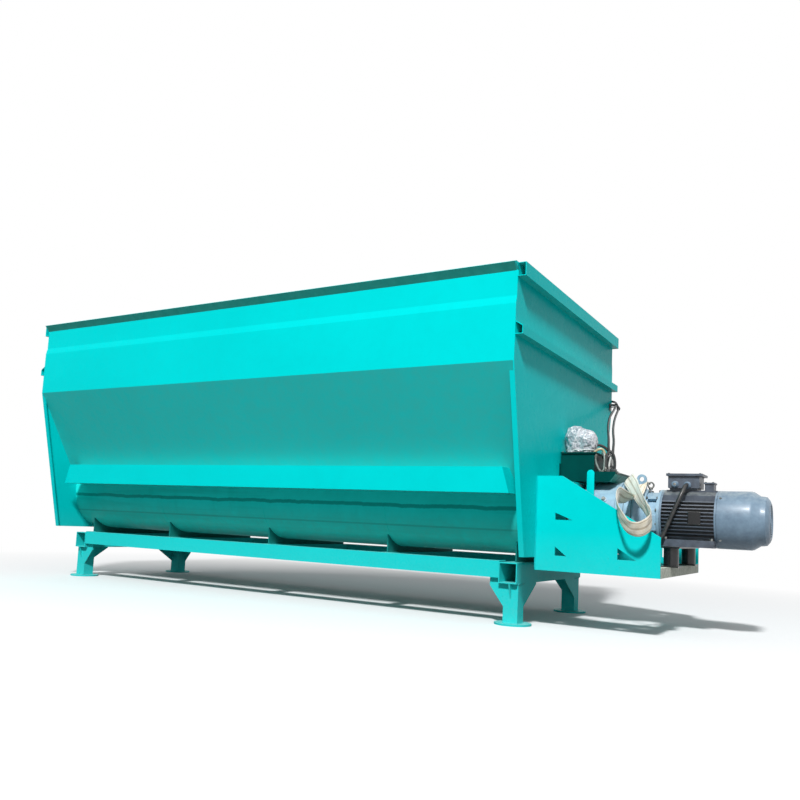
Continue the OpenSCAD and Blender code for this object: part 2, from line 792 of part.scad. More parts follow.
cable_route = [
    [motor_x + 158, -85 - clearance, 945], [motor_x + 158, -118, 945], [motor_x + 156, -150, 935],
    [motor_x + 140, -190, 880], [motor_x + 110, -207, 800], [motor_x + 70, -214, 700],
    [motor_x + 30, -220, 600], [motor_x - 15, -226, 520], [motor_x - 42, -230, 465],
    [motor_x - 45, -230, cable_end + 20], [motor_x - 45, -230, cable_end]
];
module motor_cable() { color(black) in_place() tube_along(cable_route, cable_d / 2); }

// Lifting sling of flat webbing, bunched round the foot of the eye and hung over the near
// cheek. Rows from the eye's middle: x, y, z, direction of the width, half width, half thickness
sling_rows = [
    [0, 21, -27, 0, 0, 1, 9, 7],
    [-44, 12, -26, 0, 0, 1, 9.5, 7],
    [-58, -34, -12, 0.3, 0, 0.95, 20, 6],
    [-66, -90, -2, 0.7, 0, 0.7, 42, 4],
    [-5, -220, -55, 0.6, -0.2, 0.75, 47, 3.5],
    [90, -420, -150, 0.3, -0.35, 0.87, 47, 3.5],
    [165, -560, -220, 0.1, -0.4, 0.9, 47, 3.5],
    [212, -655, -270, 0, -0.4, 0.91, 47, 3.5],
    [208, -725, -315, 0, -0.4, 0.91, 47, 3.5],
    [165, -755, -342, 0, -0.4, 0.91, 47, 3.5],
    [105, -745, -330, 0, -0.4, 0.91, 47, 3.5],
    [45, -705, -264, 0, -0.4, 0.91, 47, 3.5],
    [12, -655, -200, 0, -0.4, 0.91, 47, 3.5],
    [-3, -570, -134, 0.1, -0.3, 0.95, 47, 3.5],
    [-8, -420, -145, 0.5, -0.2, 0.84, 47, 3.5],
    [8, -255, -145, 0.95, -0.1, 0.3, 44, 3.5],
    [15, -168, -98, 1, 0, 0, 40, 3.5],
    [22, -85, -46, 1, 0, 0, 30, 4],
    [44, -25, -30, 0.3, 0, 0.95, 12, 6],
    [46, 10, -28, 0, 0, 1, 9, 7]
];
module lifting_sling() {
    color([0.9, 0.87, 0.76]) in_place() translate([eye_x, 0, eye_z]) band_along(sling_rows, 3);
}

// Augers
bearing_l = 40;
module rear_bearings() {
    color(steel) in_place() for (s = [-1, 1]) difference() {
        rod_x(-half_l - bearing_l, -half_l, s * shaft_gap / 2, shaft_h, 95);
        rod_x(-half_l - bearing_l - 1, -half_l + 1, s * shaft_gap / 2, shaft_h, stub_r + 0.1);
    }
}
tube_gap = 30;
paddle_w = 50;
paddle_t = 12;
paddle_r = tooth_r - 14;
module auger_shaft(s) {
    rod_x(-inner_l + tube_gap, inner_l - tube_gap, s * shaft_gap / 2, shaft_h, tube_r);
    translate([flight_meet, s * shaft_gap / 2, shaft_h]) for (a = [0:90:270]) rotate([a, 0, 0])
        block([-paddle_w / 2, paddle_w / 2], [-paddle_t / 2, paddle_t / 2], [tube_r - 5, paddle_r]);
    rod_x(-half_l - bearing_l - 8, -inner_l + tube_gap, s * shaft_gap / 2, shaft_h, stub_r);
    rod_x(inner_l - tube_gap, half_l + stub_in, s * shaft_gap / 2, shaft_h, stub_r);
}
module auger_shaft_near() { color(steel) in_place() auger_shaft(-1); }
module auger_shaft_far() { color(steel) in_place() auger_shaft(1); }

// One flight round the X axis from x0 to x1; hand is 1 or -1
flight_steps = 20;
flight_in_r = (tube_r + 0.2) / cos(180 / flight_steps);
module flight(x0, x1, hand) {
    n = round((x1 - x0) / flight_pitch * flight_steps);
    rings = [for (i = [0:n])
        let (x = x0 + (x1 - x0) * i / n,
             a = hand * 360 * (x - x0) / flight_pitch,
             r = tooth_r - (i % 2) * tooth_d)
        each [
            [x, flight_in_r * cos(a), flight_in_r * sin(a)], [x, r * cos(a), r * sin(a)],
            [x + flight_t, r * cos(a), r * sin(a)],
            [x + flight_t, flight_in_r * cos(a), flight_in_r * sin(a)]
        ]];
    turn = hand > 0 ? [0, 1, 2, 3] : [3, 2, 1, 0];
    walls = [for (i = [0:n - 1], k = [0:3])
        let (a = i * 4 + turn[k], b = i * 4 + turn[(k + 1) % 4])
        each k == 2 ? [[a, b, a + 4], [b, b + 4, a + 4]] : [[a, b, b + 4], [a, b + 4, a + 4]]];
    ends = [[for (k = [3:-1:0]) turn[k]], [for (k = [0:3]) n * 4 + turn[k]]];
    polyhedron(points = rings, faces = concat(walls, ends));
}
flight_end = inner_l - 60;
flight_meet = door_x - flight_pitch / 2;
flight_back = paddle_w / 2 + 15;
module auger_flight(s) {
    translate([0, s * shaft_gap / 2, shaft_h]) {
        flight(-flight_end, flight_meet - flight_back, s);
        flight(flight_meet + flight_back, flight_end - flight_t, -s);
    }
}
module auger_flight_near() { color(steel) in_place() auger_flight(-1); }
module auger_flight_far() { color(steel) in_place() auger_flight(1); }

// Discharge frame, door and cylinder
door_dir = [-sin(door_lean), -cos(door_lean)];
door_out = [cos(door_lean), -sin(door_lean)];
function door_at(along, out) = [hinge_y, hinge_z] + along * door_dir + out * door_out;
hinge_r = 9;
cheek_gate_t = 8;
door_in = 5.7;
pin_head_t = 8;
strip_t = 8;
module discharge_frame() {
    color(teal) in_place() {
        gate_strips();
        hose_clips();
        for (x = [gate_x0 - cheek_gate_t, gate_x1]) along_x(x, x + cheek_gate_t) difference() {
            polygon([
                [trough_y - 90, beam_z], [hinge_y + 14, beam_z], [hinge_y + 14, hinge_z - 14],
                door_at(20, -door_in - clearance), door_at(door_l - 10, -door_in - clearance),
                [shaft_gap / 2 + 60, trough_low + 40]
            ]);
            trough_outline(trough_r + trough_t);
            translate([hinge_y, hinge_z]) circle(r = hinge_r + 0.2);
        }
        cylinder_bracket();
    }
}
// Strips over and under the opening, between the trough and the door
module gate_strips() {
    face = -door_in - clearance;
    along_x(gate_x0, gate_x1) difference() {
        union() {
            polygon([
                [trough_y, gate_high + strip_t], door_at(14, face), door_at(14 + strip_t, face),
                [trough_y, gate_high]
            ]);
            polygon([
                [shaft_gap / 2 + 190, gate_low], door_at(door_l - 22, face),
                door_at(door_l - 22 + strip_t, face), [shaft_gap / 2 + 190, gate_low - strip_t]
            ]);
        }
        trough_outline(trough_r + trough_t + clearance);
    }
}
// Clips that hold the upper hose off the far side shell, at two of its points
clip_w = 24;
module hose_clips() {
    for (c = [upper_hose[11], upper_hose[13]])
        block([c[0] - clip_w / 2, c[0] + clip_w / 2],
              [knee_w / 2 + clearance, c[1] - hose_d / 2 - clearance],
              [c[2] - clip_w / 2, c[2] + clip_w / 2]);
}
bracket_t = 10;
bracket_in = 20;
bracket_h = 60;
module cylinder_bracket() {
    for (x = [door_x - bracket_in - bracket_t, door_x + bracket_in])
        along_x(x, x + bracket_t) polygon([
            [panel_y(cyl_pin_z + bracket_h) + clearance, cyl_pin_z + bracket_h],
            cyl_pin + [12, 20], cyl_pin + [24, -4], cyl_pin + [4, -24],
            [panel_y(cyl_pin_z - bracket_h) + clearance, cyl_pin_z - bracket_h]
        ]);
    rod_x(door_x - bracket_in - bracket_t - 6, door_x + bracket_in + bracket_t + 6,
          cyl_pin[0], cyl_pin[1], pin_r);
}
module discharge_door() {
    color(teal) in_place() {
        along_x(gate_x0 - cheek_gate_t, gate_x1 + cheek_gate_t)
            polygon([door_at(30, -door_in), door_at(30, door_t - door_in),
                     door_at(door_l, door_t - door_in), door_at(door_l, -door_in)]);
        rod_x(gate_x0 - 20, gate_x1 + 20, hinge_y, hinge_z, hinge_r);
        for (x = [gate_x0 + 20, gate_x1 - 60]) along_x(x, x + 40)
            polygon([door_at(0, -door_in), door_at(0, 4), door_at(32, 4), door_at(32, -door_in)]);
        for (x = [door_x - 40, door_x + 28]) along_x(x, x + 12) difference() {
            polygon([door_at(90, door_t - 7), arm_pin + [-8, 28], arm_pin + [26, 8],
                     arm_pin + [8, -26], door_at(300, door_t - 7)]);
            translate(arm_pin) circle(r = 13);
        }
        for (x = [door_x - 40 - pin_head_t, door_x + 40])
            rod_x(x, x + pin_head_t, arm_pin[0], arm_pin[1], 20);
    }
}
module at_cylinder() {
    translate([door_x, cyl_pin[0], cyl_pin[1]]) rotate([-cyl_lean, 0, 0]) children();
}
module door_cylinder() {
    color(black) in_place() at_cylinder() {
        difference() {
            union() {
                rod_x(-18, 18, 0, 0, 24);
                translate([-16, -16, -barrel_top]) cube([32, 32, barrel_top]);
                translate([0, 0, -barrel_l]) cylinder(h = barrel_l - barrel_top, r = barrel_r);
                rod_x(0, barrel_r + port_out, 0, -head_port_z, 12);
                rod_x(0, barrel_r + port_out, 0, -base_port_z, 9);
            }
            rod_x(-20, 20, 0, 0, pin_r + 0.1);
            translate([0, 0, -barrel_l - 1])
                cylinder(h = barrel_l - barrel_top - 40, r = rod_r + 0.3);
        }
        rod_x(barrel_r + clearance, barrel_r + port_out, 0, -pipe_port_z, 12);
        translate([barrel_r + port_out - pipe_r, 0, -base_port_z])
            cylinder(h = base_port_z - pipe_port_z, r = pipe_r);
    }
}
module door_rod() {
    color(steel) in_place() at_cylinder() difference() {
        union() {
            translate([0, 0, -cyl_len + 10]) cylinder(h = cyl_len - 10 - barrel_l + 60, r = rod_r);
            translate([0, 0, -cyl_len]) rod_x(-22, 22, 0, 0, 25);
        }
        translate([0, 0, -cyl_len]) rod_x(-25, 25, 0, 0, 13);
    }
}

end_plate_rear();
end_plate_drive();
side_shell_near();
side_shell_far();
trough();
beam_near();
beam_far();
top_rails();
mid_rails();
base_tube_near();
base_tube_far();
cross_tubes();
cross_members();
saddles();
leg_near_rear();
leg_near_drive();
leg_far_rear();
leg_far_drive();
foot_pads();
mount_cheek_near();
mount_cheek_far();
mount_bars();
motor_pillars();
gear_case();
gear_head();
bell_housing();
motor_body();
fan_cowl();
terminal_box();
oil_tank();
tank_shelf();
valve_block();
pump_motor();
door_hoses();
motor_cable();
lifting_sling();
rear_bearings();
auger_shaft_near();
auger_shaft_far();
auger_flight_near();
auger_flight_far();
discharge_frame();
discharge_door();
door_cylinder();
door_rod();
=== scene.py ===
import json
import math

import bmesh
import bpy
from mathutils import Matrix, Vector


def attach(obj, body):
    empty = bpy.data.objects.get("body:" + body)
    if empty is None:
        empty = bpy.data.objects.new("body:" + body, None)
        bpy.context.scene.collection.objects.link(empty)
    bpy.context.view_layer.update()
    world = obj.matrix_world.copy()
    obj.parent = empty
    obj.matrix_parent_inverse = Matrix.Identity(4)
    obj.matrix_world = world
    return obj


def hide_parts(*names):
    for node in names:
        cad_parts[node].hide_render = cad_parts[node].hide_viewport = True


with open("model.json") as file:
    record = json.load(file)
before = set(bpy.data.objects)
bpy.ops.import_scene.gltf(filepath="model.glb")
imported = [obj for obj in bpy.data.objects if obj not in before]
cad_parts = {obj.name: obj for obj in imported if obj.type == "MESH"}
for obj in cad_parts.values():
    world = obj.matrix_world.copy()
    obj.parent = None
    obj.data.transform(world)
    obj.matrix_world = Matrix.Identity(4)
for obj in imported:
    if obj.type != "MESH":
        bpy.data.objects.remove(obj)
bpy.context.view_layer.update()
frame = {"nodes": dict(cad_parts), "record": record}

# Camera, in metres, at the photograph's viewing angle
CAMERA_PLACE = Vector((3.4123, -5.3733, 0.6126))
CAMERA_RIGHT = Vector((0.858799, 0.510100, 0.047567))
CAMERA_UP = Vector((0.008880, -0.107655, 0.994149))
FRAME_PIXELS = 800
FOCAL_PIXELS = 783.48
MIDDLE_PIXEL = (395.07, 446.55)

# The one lamp: its direction from the object, and metres and watts
LAMP_SIDE = Vector((0.253, -0.656, 0.711))
LAMP_DISTANCE = 24.0
LAMP_SIZE = 2.4
LAMP_POWER = 6300.0

# Sizes repeated from the part, in metres; X is counted from the middle of the body
BODY_X = -0.624
HALF_LENGTH = 2.25
INNER_LENGTH = 2.242
SHAFT_Y = 0.3
SHAFT_Z = 0.773
TROUGH_RADIUS = 0.320
TROUGH_EDGE = (0.628, 0.860)
KNEE = (1.063, 1.617)
BEAM_TOP_Z = 0.997
LIP_FOOT_Z = 2.175
LEG_X = 2.097
LEG_Y = 0.572
POST_HALF = 0.05
TUBE_END_X = 2.0225
AXIS_Z = 0.731
BELL_X = 2.805
MOTOR_X = 2.910
COWL_X = 3.255
DRIVE_END = 3.550
MOTOR_RADIUS = 0.182
MOUNT_Z = 0.362
END_BAR_X = 2.92
SHELF_Z = 0.962
TANK_TOP = 1.150
VALVE_ENDS = (2.512, 2.588)
DOOR_X = 1.6
DOOR_LEAN = 24
HINGE = Vector((0, 0.700, 0.813))
# Distances of the cylinder's three ports from its upper pin
HEAD_PORT = 0.095
PIPE_PORT = 0.135
BASE_PORT = 0.48


def at(x, y, z):
    """A point whose X is counted from the middle of the body."""
    return Vector((x + BODY_X, y, z))


def span(start_x, end_x):
    """Both ends of a stretch along the body."""
    return at(start_x, 0, 0).x, at(end_x, 0, 0).x


def set_camera():
    data = bpy.data.cameras.new("photo_camera")
    camera = bpy.data.objects.new("photo_camera", data)
    bpy.context.scene.collection.objects.link(camera)
    back = CAMERA_RIGHT.cross(CAMERA_UP).normalized()
    turn = Matrix((CAMERA_RIGHT, CAMERA_UP, back)).transposed()
    camera.matrix_world = Matrix.Translation(CAMERA_PLACE) @ turn.to_4x4()
    data.sensor_width = 36.0
    data.lens = FOCAL_PIXELS * data.sensor_width / FRAME_PIXELS
    data.shift_x = (FRAME_PIXELS / 2 - MIDDLE_PIXEL[0]) / FRAME_PIXELS
    data.shift_y = (MIDDLE_PIXEL[1] - FRAME_PIXELS / 2) / FRAME_PIXELS
    data.clip_end = 200.0
    bpy.context.scene.camera = camera


class Value:
    """An output socket; Python's operators on it add the Math nodes of the expression."""

    def __init__(self, recipe, socket):
        self.recipe = recipe
        self.socket = socket

    def _math(self, operation, *terms):
        return self.recipe.node("ShaderNodeMath", {"operation": operation}, dict(enumerate(terms)))

    def __add__(self, other):
        return self._math("ADD", self, other)

    def __radd__(self, other):
        return self._math("ADD", other, self)

    def __sub__(self, other):
        return self._math("SUBTRACT", self, other)

    def __rsub__(self, other):
        return self._math("SUBTRACT", other, self)

    def __mul__(self, other):
        return self._math("MULTIPLY", self, other)

    def __rmul__(self, other):
        return self._math("MULTIPLY", other, self)

    def __pow__(self, other):
        return self._math("POWER", self, other)

    def at_most(self, other):
        return self._math("MINIMUM", self, other)

    def size(self):
        return self._math("ABSOLUTE", self)

    def wave(self):
        return self._math("SINE", self)

    def part(self, name):
        """Another output of the same node."""
        return Value(self.recipe, self.socket.node.outputs[name])


class Recipe:
    """One material or world and its nodes."""

    def __init__(self, name, kind="Material"):
        store = bpy.data.worlds if kind == "World" else bpy.data.materials
        self.block = store.new(name)
        self.block.use_nodes = True
        self.tree = self.block.node_tree
        self.tree.nodes.clear()
        self.output = self.tree.nodes.new("ShaderNodeOutput" + kind)

    def node(self, kind, settings=None, inputs=None, out=0):
        """Add a node, set its settings, then fill or link its sockets."""
        node = self.tree.nodes.new(kind)
        for key, value in (settings or {}).items():
            setattr(node, key, value)
        for key, value in (inputs or {}).items():
            if isinstance(value, Value):
                self.tree.links.new(value.socket, node.inputs[key])
            else:
                node.inputs[key].default_value = value
        return Value(self, node.outputs[out])

    def place(self):
        return self.node("ShaderNodeTexCoord", out="Object")

    def xyz(self, vector=None):
        first = self.node("ShaderNodeSeparateXYZ", {}, {0: vector or self.place()})
        return first, first.part("Y"), first.part("Z")

    def stretched(self, stretch):
        return self.node("ShaderNodeMapping", {}, {"Vector": self.place(), "Scale": stretch})

    def noise(self, scale, detail=4.0, rough=0.55, stretch=(1, 1, 1), warp=0.0):
        facts = {"Vector": self.stretched(stretch), "Scale": scale, "Detail": detail,
                 "Roughness": rough, "Distortion": warp}
        return self.node("ShaderNodeTexNoise", {}, facts)

    def creases(self, scale, stretch):
        """Distance to the nearest edge of a pattern of cells."""
        facts = {"Vector": self.stretched(stretch), "Scale": scale}
        return self.node("ShaderNodeTexVoronoi", {"feature": "DISTANCE_TO_EDGE"}, facts)

    def band(self, value, low, high, bottom=0.0, top=1.0):
        """Map low..high of a value to bottom..top, clamped."""
        facts = {"Value": value, "From Min": low, "From Max": high,
                 "To Min": bottom, "To Max": top}
        return self.node("ShaderNodeMapRange", {"clamp": True}, facts)

    def mix(self, share, first, second):
        """Go from the first colour to the second by a share from 0 to 1."""
        settings = {"data_type": "RGBA", "clamp_factor": True}
        return self.node("ShaderNodeMix", settings, {0: share, 6: first, 7: second}, out=2)

    def facing(self):
        """The three parts of the surface's own direction, each from -1 to 1."""
        return self.xyz(self.node("ShaderNodeNewGeometry", out="Normal"))

    def up(self):
        return self.facing()[2]

    def bump(self, height, strength, distance):
        facts = {"Height": height, "Strength": strength, "Distance": distance}
        return self.node("ShaderNodeBump", {}, facts)

    def seen(self):
        """1 for rays from the camera and for mirrored and transmitted ones."""
        camera = self.node("ShaderNodeLightPath", out="Is Camera Ray")
        rays = camera + camera.part("Is Glossy Ray") + camera.part("Is Transmission Ray")
        return rays.at_most(1.0)

    def principled(self, **sockets):
        """A Principled shader; underscores stand for spaces."""
        facts = {key.replace("_", " "): value for key, value in sockets.items()}
        return self.node("ShaderNodeBsdfPrincipled", {}, facts)

    def blend(self, share, first, second):
        return self.node("ShaderNodeMixShader", {}, {0: share, 1: first, 2: second})

    def close(self, shader):
        self.tree.links.new(shader.socket, self.output.inputs["Surface"])
        return self.block

    def finish(self, **sockets):
        return self.close(self.principled(**sockets))


def rgb(red, green, blue):
    """A linear colour from the three numbers of a screen colour."""
    def line(value):
        value = value / 255
        return value / 12.92 if value <= 0.04045 else ((value + 0.055) / 1.055) ** 2.4
    return (line(red), line(green), line(blue), 1.0)


TEAL = rgb(0, 214, 214)
DEEP_TEAL = rgb(0, 200, 200)
# A darker teal for thin paint along the trough's lines, and for painted shade under the flared lip
THIN_PAINT_AND_SHADE_TEAL = rgb(0, 138, 130)
# A paler teal: painted sheen on faces turned down
SHEEN_TEAL = rgb(84, 192, 180)
CHIPPED = rgb(58, 70, 68)
DUST = rgb(186, 190, 176)
# Two colours and how metallic: steel that feed has scoured, and paint rubbed pale
SCOURED_STEEL = (rgb(112, 110, 104), rgb(176, 172, 164), 0.85)
RUBBED_PALE = (rgb(176, 182, 168), rgb(216, 218, 206), 0.1)


def enamel(name, colour, deeper, dusty, gloss=0.24, worn=None, streaked=0.0,
           bare_look=SCOURED_STEEL, marked=None):
    """Sprayed enamel: clouds, streaks, orange peel, chips, a painted pale sheen on faces turned
    down, and dust on top.

    worn and marked are functions that say where the paint is gone, and where it is darker: thin
    paint along lines, and painted shade.
    """
    recipe = Recipe(name)
    clouds = recipe.noise(0.9, detail=6.0, warp=0.4)
    mottle = recipe.noise(14.0, detail=5.0, rough=0.65)
    fine = recipe.noise(60.0, detail=3.0)
    peel = recipe.noise(260.0, detail=2.0)
    cloudy = recipe.band(clouds * 0.7 + mottle * 0.3, 0.38, 0.64, 0.0, 0.55)
    paint = recipe.mix(cloudy, colour, deeper)
    if streaked:
        along = recipe.noise(1.0, detail=6.0, stretch=(0.7, 9.0, 16.0), warp=0.3)
        down = recipe.noise(1.0, detail=5.0, stretch=(9.0, 9.0, 0.5))
        lengthwise = recipe.band(along, 0.5, 0.68) * streaked
        share = lengthwise + recipe.band(down, 0.56, 0.72) * streaked * 0.5
        paint = recipe.mix(share, paint, deeper)
    if marked:
        paint = recipe.mix(marked(recipe), paint, THIN_PAINT_AND_SHADE_TEAL)
    # Painted sheen: faces turned down are paler in patches, standing in for the reflection of the
    # pale floor
    painted_sheen = recipe.band(recipe.up(), -0.2, -0.6) * recipe.band(mottle, 0.3, 0.7, 0.35, 0.6)
    paint = recipe.mix(painted_sheen, paint, SHEEN_TEAL)
    low = recipe.band(recipe.xyz()[2], 0.62, 0.05)
    flakes = recipe.noise(46.0, detail=7.0, rough=0.7)
    chips = recipe.band(flakes, 0.66, 0.69) * (low * 0.8 + 0.12)
    settled = recipe.band(recipe.up(), 0.35, 0.95) * recipe.band(mottle, 0.3, 0.7)
    dust = settled * dusty + low * fine * 0.16
    paint = recipe.mix(dust, paint, DUST)
    paint = recipe.mix(chips, paint, CHIPPED)
    metal = 0.0
    rough = recipe.band(mottle, 0.3, 0.7, gloss, gloss + 0.1) + dust * 0.45 + chips * 0.3
    if worn:
        bare = worn(recipe, mottle)
        dull, bright, metallic = bare_look
        scrubbed = recipe.mix(recipe.band(fine, 0.35, 0.65), dull, bright)
        paint = recipe.mix(bare, paint, scrubbed)
        metal = bare * metallic
        rough = rough + bare * 0.12
    height = peel * 0.35 + mottle * 0.35 - chips * 0.6
    return recipe.finish(Base_Color=paint, Roughness=rough, Metallic=metal, IOR=1.45,
                         Specular_IOR_Level=0.025, Normal=recipe.bump(height, 0.1, 0.0005))


def trough_wear(recipe, mottle):
    """Feed scours the inside of the two arcs down to the steel."""
    _, y, z = recipe.xyz()
    reach = ((y.size() - SHAFT_Y) ** 2.0 + (z - SHAFT_Z) ** 2.0) ** 0.5
    inside = recipe.band(reach, TROUGH_RADIUS + 0.0025, TROUGH_RADIUS + 0.0015)
    return inside * recipe.band(z + mottle * 0.2, 0.98, 0.78)


def lap_line(recipe):
    """Two darker lines along the trough: a wavy lap under its beam and a straight bend."""
    lap_z, bend_z = 0.764, 0.60
    z = recipe.xyz()[2]
    wavy = recipe.noise(1.0, detail=5.0, stretch=(2.2, 0.01, 0.01), rough=0.7)
    lap = recipe.band((z + wavy * 0.05 - lap_z).size(), 0.016, 0.010) * 0.7
    bend = recipe.band((z - bend_z).size(), 0.008, 0.004) * 0.5
    return (lap + bend).at_most(1.0)


def lip_shade(recipe):
    """Painted shade: the underside of the flared lip is darker than the sides, as it faces down."""
    above = recipe.band(recipe.xyz()[2], LIP_FOOT_Z - 0.003, LIP_FOOT_Z + 0.003)
    return above * recipe.band(recipe.up(), -0.15, -0.4)


def shell_wear(recipe, mottle):
    """Inside, just above the trough, feed has begun to scuff the slope."""
    _, y, z = recipe.xyz()
    inside = recipe.band(y * recipe.facing()[1], 0.0, -0.02)
    scuffs = recipe.noise(1.0, detail=7.0, rough=0.7, stretch=(1.0, 14.0, 14.0), warp=0.4)
    return inside * recipe.band(scuffs + mottle * 0.1 - (z - 0.9) * 0.6, 0.58, 0.64) * 0.6


def bar_rub(recipe, mottle):
    """The end bar of the mount is rubbed bare and pale with dust."""
    x = recipe.xyz()[0]
    edge = END_BAR_X + BODY_X
    return recipe.band(x + mottle * 0.04, edge + 0.014, edge + 0.034)


def casting(name, colour, deeper, gloss=0.4, grain=0.35):
    """Painted iron: a sandy skin, deeper colour in its hollows and a little dust on top."""
    recipe = Recipe(name)
    sand = recipe.noise(420.0, detail=3.0)
    lumps = recipe.noise(28.0, detail=5.0, rough=0.6)
    broad = recipe.noise(4.0, detail=4.0)
    paint = recipe.mix(recipe.band(lumps * 0.5 + broad * 0.5, 0.36, 0.64), deeper, colour)
    dust = recipe.band(recipe.up(), 0.55, 1.0) * recipe.band(lumps, 0.35, 0.6) * 0.3
    paint = recipe.mix(dust, paint, DUST)
    rough = recipe.band(sand, 0.3, 0.7, gloss - 0.06, gloss + 0.12)
    return recipe.finish(Base_Color=paint, Roughness=rough, Coat_Weight=0.12, Coat_Roughness=0.2,
                         Normal=recipe.bump(sand * 0.6 + lumps * 0.4, grain, 0.0012))


def metal(name, colour, deeper, rough, brushed=(1, 1, 1), scale=90.0, shine=1.0, bump=0.08):
    """Bare or plated steel with fine tool lines and duller clouds."""
    recipe = Recipe(name)
    lines = recipe.noise(scale, detail=5.0, stretch=brushed)
    broad = recipe.noise(5.0, detail=5.0, rough=0.6)
    shade = recipe.mix(recipe.band(broad * 0.6 + lines * 0.4, 0.38, 0.62), deeper, colour)
    return recipe.finish(Base_Color=shade, Metallic=shine,
                         Roughness=recipe.band(lines, 0.3, 0.7, rough - 0.06, rough + 0.1),
                         Normal=recipe.bump(lines, bump, 0.0006))


def rubber(name, colour, deeper, rough=0.42):
    """Hose or seal rubber with a fine grain and smears."""
    recipe = Recipe(name)
    grain = recipe.noise(500.0, detail=2.0)
    smears = recipe.noise(30.0, detail=6.0, rough=0.65)
    shade = recipe.mix(recipe.band(smears, 0.4, 0.66), colour, deeper)
    gloss = recipe.band(smears, 0.3, 0.7, rough - 0.08, rough + 0.14)
    return recipe.finish(Base_Color=shade, Roughness=gloss, Coat_Weight=0.15, Coat_Roughness=0.25,
                         Normal=recipe.bump(grain, 0.16, 0.0006))


def webbing():
    """Woven sling: herringbone ribs along its length, sewn rows, grime and a worn nap."""
    recipe = Recipe("sling_webbing")
    along, across, _ = recipe.xyz(recipe.node("ShaderNodeTexCoord", out="UV"))
    # The map runs from 0 to 1 across the outer face, and on to 2 across the inner one
    inner = recipe.band(across, 0.999, 1.001)
    spread = across - inner
    rib = (spread * 88.0).wave()
    twill = (along * 900.0 + (spread * 44.0).wave() * 2.2).wave()
    thread = recipe.noise(700.0, detail=2.0)
    grime = recipe.noise(9.0, detail=6.0, rough=0.65, warp=0.5)
    smudge = recipe.noise(34.0, detail=5.0, rough=0.7)
    weave = rib * 0.5 + twill * 0.4 + thread * 0.5
    cloth = recipe.mix(recipe.band(weave, -0.6, 0.9), rgb(236, 229, 208), rgb(254, 252, 245))
    grimy = recipe.band(grime * 0.6 + smudge * 0.4, 0.5, 0.68) * 0.35
    cloth = recipe.mix(grimy, cloth, rgb(196, 178, 140))
    # Patches on the inner face are made darker and yellower
    inner_tint = inner * recipe.band(smudge, 0.25, 0.6, 0.1, 0.5)
    cloth = recipe.mix(inner_tint, cloth, rgb(216, 200, 168))
    rows = ((spread - 0.5).size() - 0.2).size()
    stitch = recipe.band((rows - 0.17).size(), 0.035, 0.012)
    cloth = recipe.mix(stitch * 0.65, cloth, rgb(150, 128, 92))
    height = weave * 0.6 - stitch * 0.8 + smudge * 0.3
    return recipe.finish(Base_Color=cloth, Roughness=recipe.band(smudge, 0.3, 0.7, 0.78, 0.95),
                         Sheen_Weight=0.25, Normal=recipe.bump(height, 0.5, 0.0012))


def crumpled_film():
    """Stretch film in many layers: milky, creased, and darker where the pump lies close."""
    recipe = Recipe("crumpled_film")
    bend = recipe.noise(11.0, detail=3.0, warp=0.8)
    fine = recipe.noise(90.0, detail=6.0, rough=0.7, warp=1.2, stretch=(1.0, 1.0, 0.35))
    folds = recipe.band(recipe.creases(26.0, (1.0, 1.0, 0.6)), 0.0, 0.12)
    cloudy = recipe.band(bend * 0.6 + fine * 0.4, 0.38, 0.62)
    milk = recipe.mix(cloudy, rgb(112, 118, 130), rgb(206, 210, 216))
    milk = recipe.mix(recipe.band(fine, 0.56, 0.66) * 0.75, milk, rgb(58, 64, 72))
    milk = recipe.mix(recipe.band(folds, 0.5, 0.0) * 0.6, milk, rgb(252, 253, 255))
    return recipe.finish(Base_Color=milk, Roughness=recipe.band(fine, 0.3, 0.7, 0.1, 0.3),
                         Coat_Weight=0.7, Coat_Roughness=0.06,
                         Normal=recipe.bump(folds * 0.5 + fine * 0.7, 0.55, 0.004))


MATERIALS = {
    "teal_paint": enamel("teal_enamel", TEAL, DEEP_TEAL, 0.3),
    "dark_green_paint": enamel("dark_green_enamel", rgb(4, 74, 70), rgb(2, 52, 52), 0.3),
    "black_paint": casting("black_enamel", rgb(20, 21, 24), rgb(9, 10, 12), 0.3, 0.2),
    "gear_grey_paint": casting("gear_grey_enamel", rgb(154, 188, 208), rgb(124, 156, 178), 0.4),
    "motor_grey_paint": casting("motor_grey_enamel", rgb(118, 142, 162), rgb(92, 114, 134), 0.4),
    "valve_iron": casting("valve_iron", rgb(54, 58, 60), rgb(26, 30, 32), 0.45),
    "plastic_film": crumpled_film(),
    "black_rubber": rubber("black_rubber", rgb(34, 35, 37), rgb(60, 60, 58)),
    "sling_webbing": webbing(),
    "bearing_iron": casting("bearing_iron", rgb(96, 100, 104), rgb(64, 68, 72), 0.45),
    "worn_steel": metal("worn_steel", rgb(168, 164, 156), rgb(104, 98, 90), 0.36,
                        scale=60.0, shine=0.9),
    "chromed_rod": metal("chromed_rod", rgb(226, 228, 232), rgb(206, 208, 212), 0.14,
                         (8, 8, 0.5), bump=0.03),
}
# The trough's teal is a lighter, greyer copy of the body's: painted light and sheen, to brighten
# the trough under its beam
TROUGH_PAINT = enamel("trough_enamel", rgb(34, 242, 236), rgb(20, 214, 206), 0.2, 0.18,
                      trough_wear, 0.6, marked=lap_line)
SHELL_PAINT = enamel("shell_enamel", TEAL, DEEP_TEAL, 0.25, 0.24, shell_wear, marked=lip_shade)
# The saddles' darker teal is a shaded copy of the body's: painted shade
SHADED_PAINT = enamel("saddle_shade_enamel", rgb(0, 128, 124), rgb(0, 104, 100), 0.2, 0.3)
BAR_PAINT = enamel("bar_enamel", TEAL, DEEP_TEAL, 0.3, 0.3, bar_rub, bare_look=RUBBED_PALE)
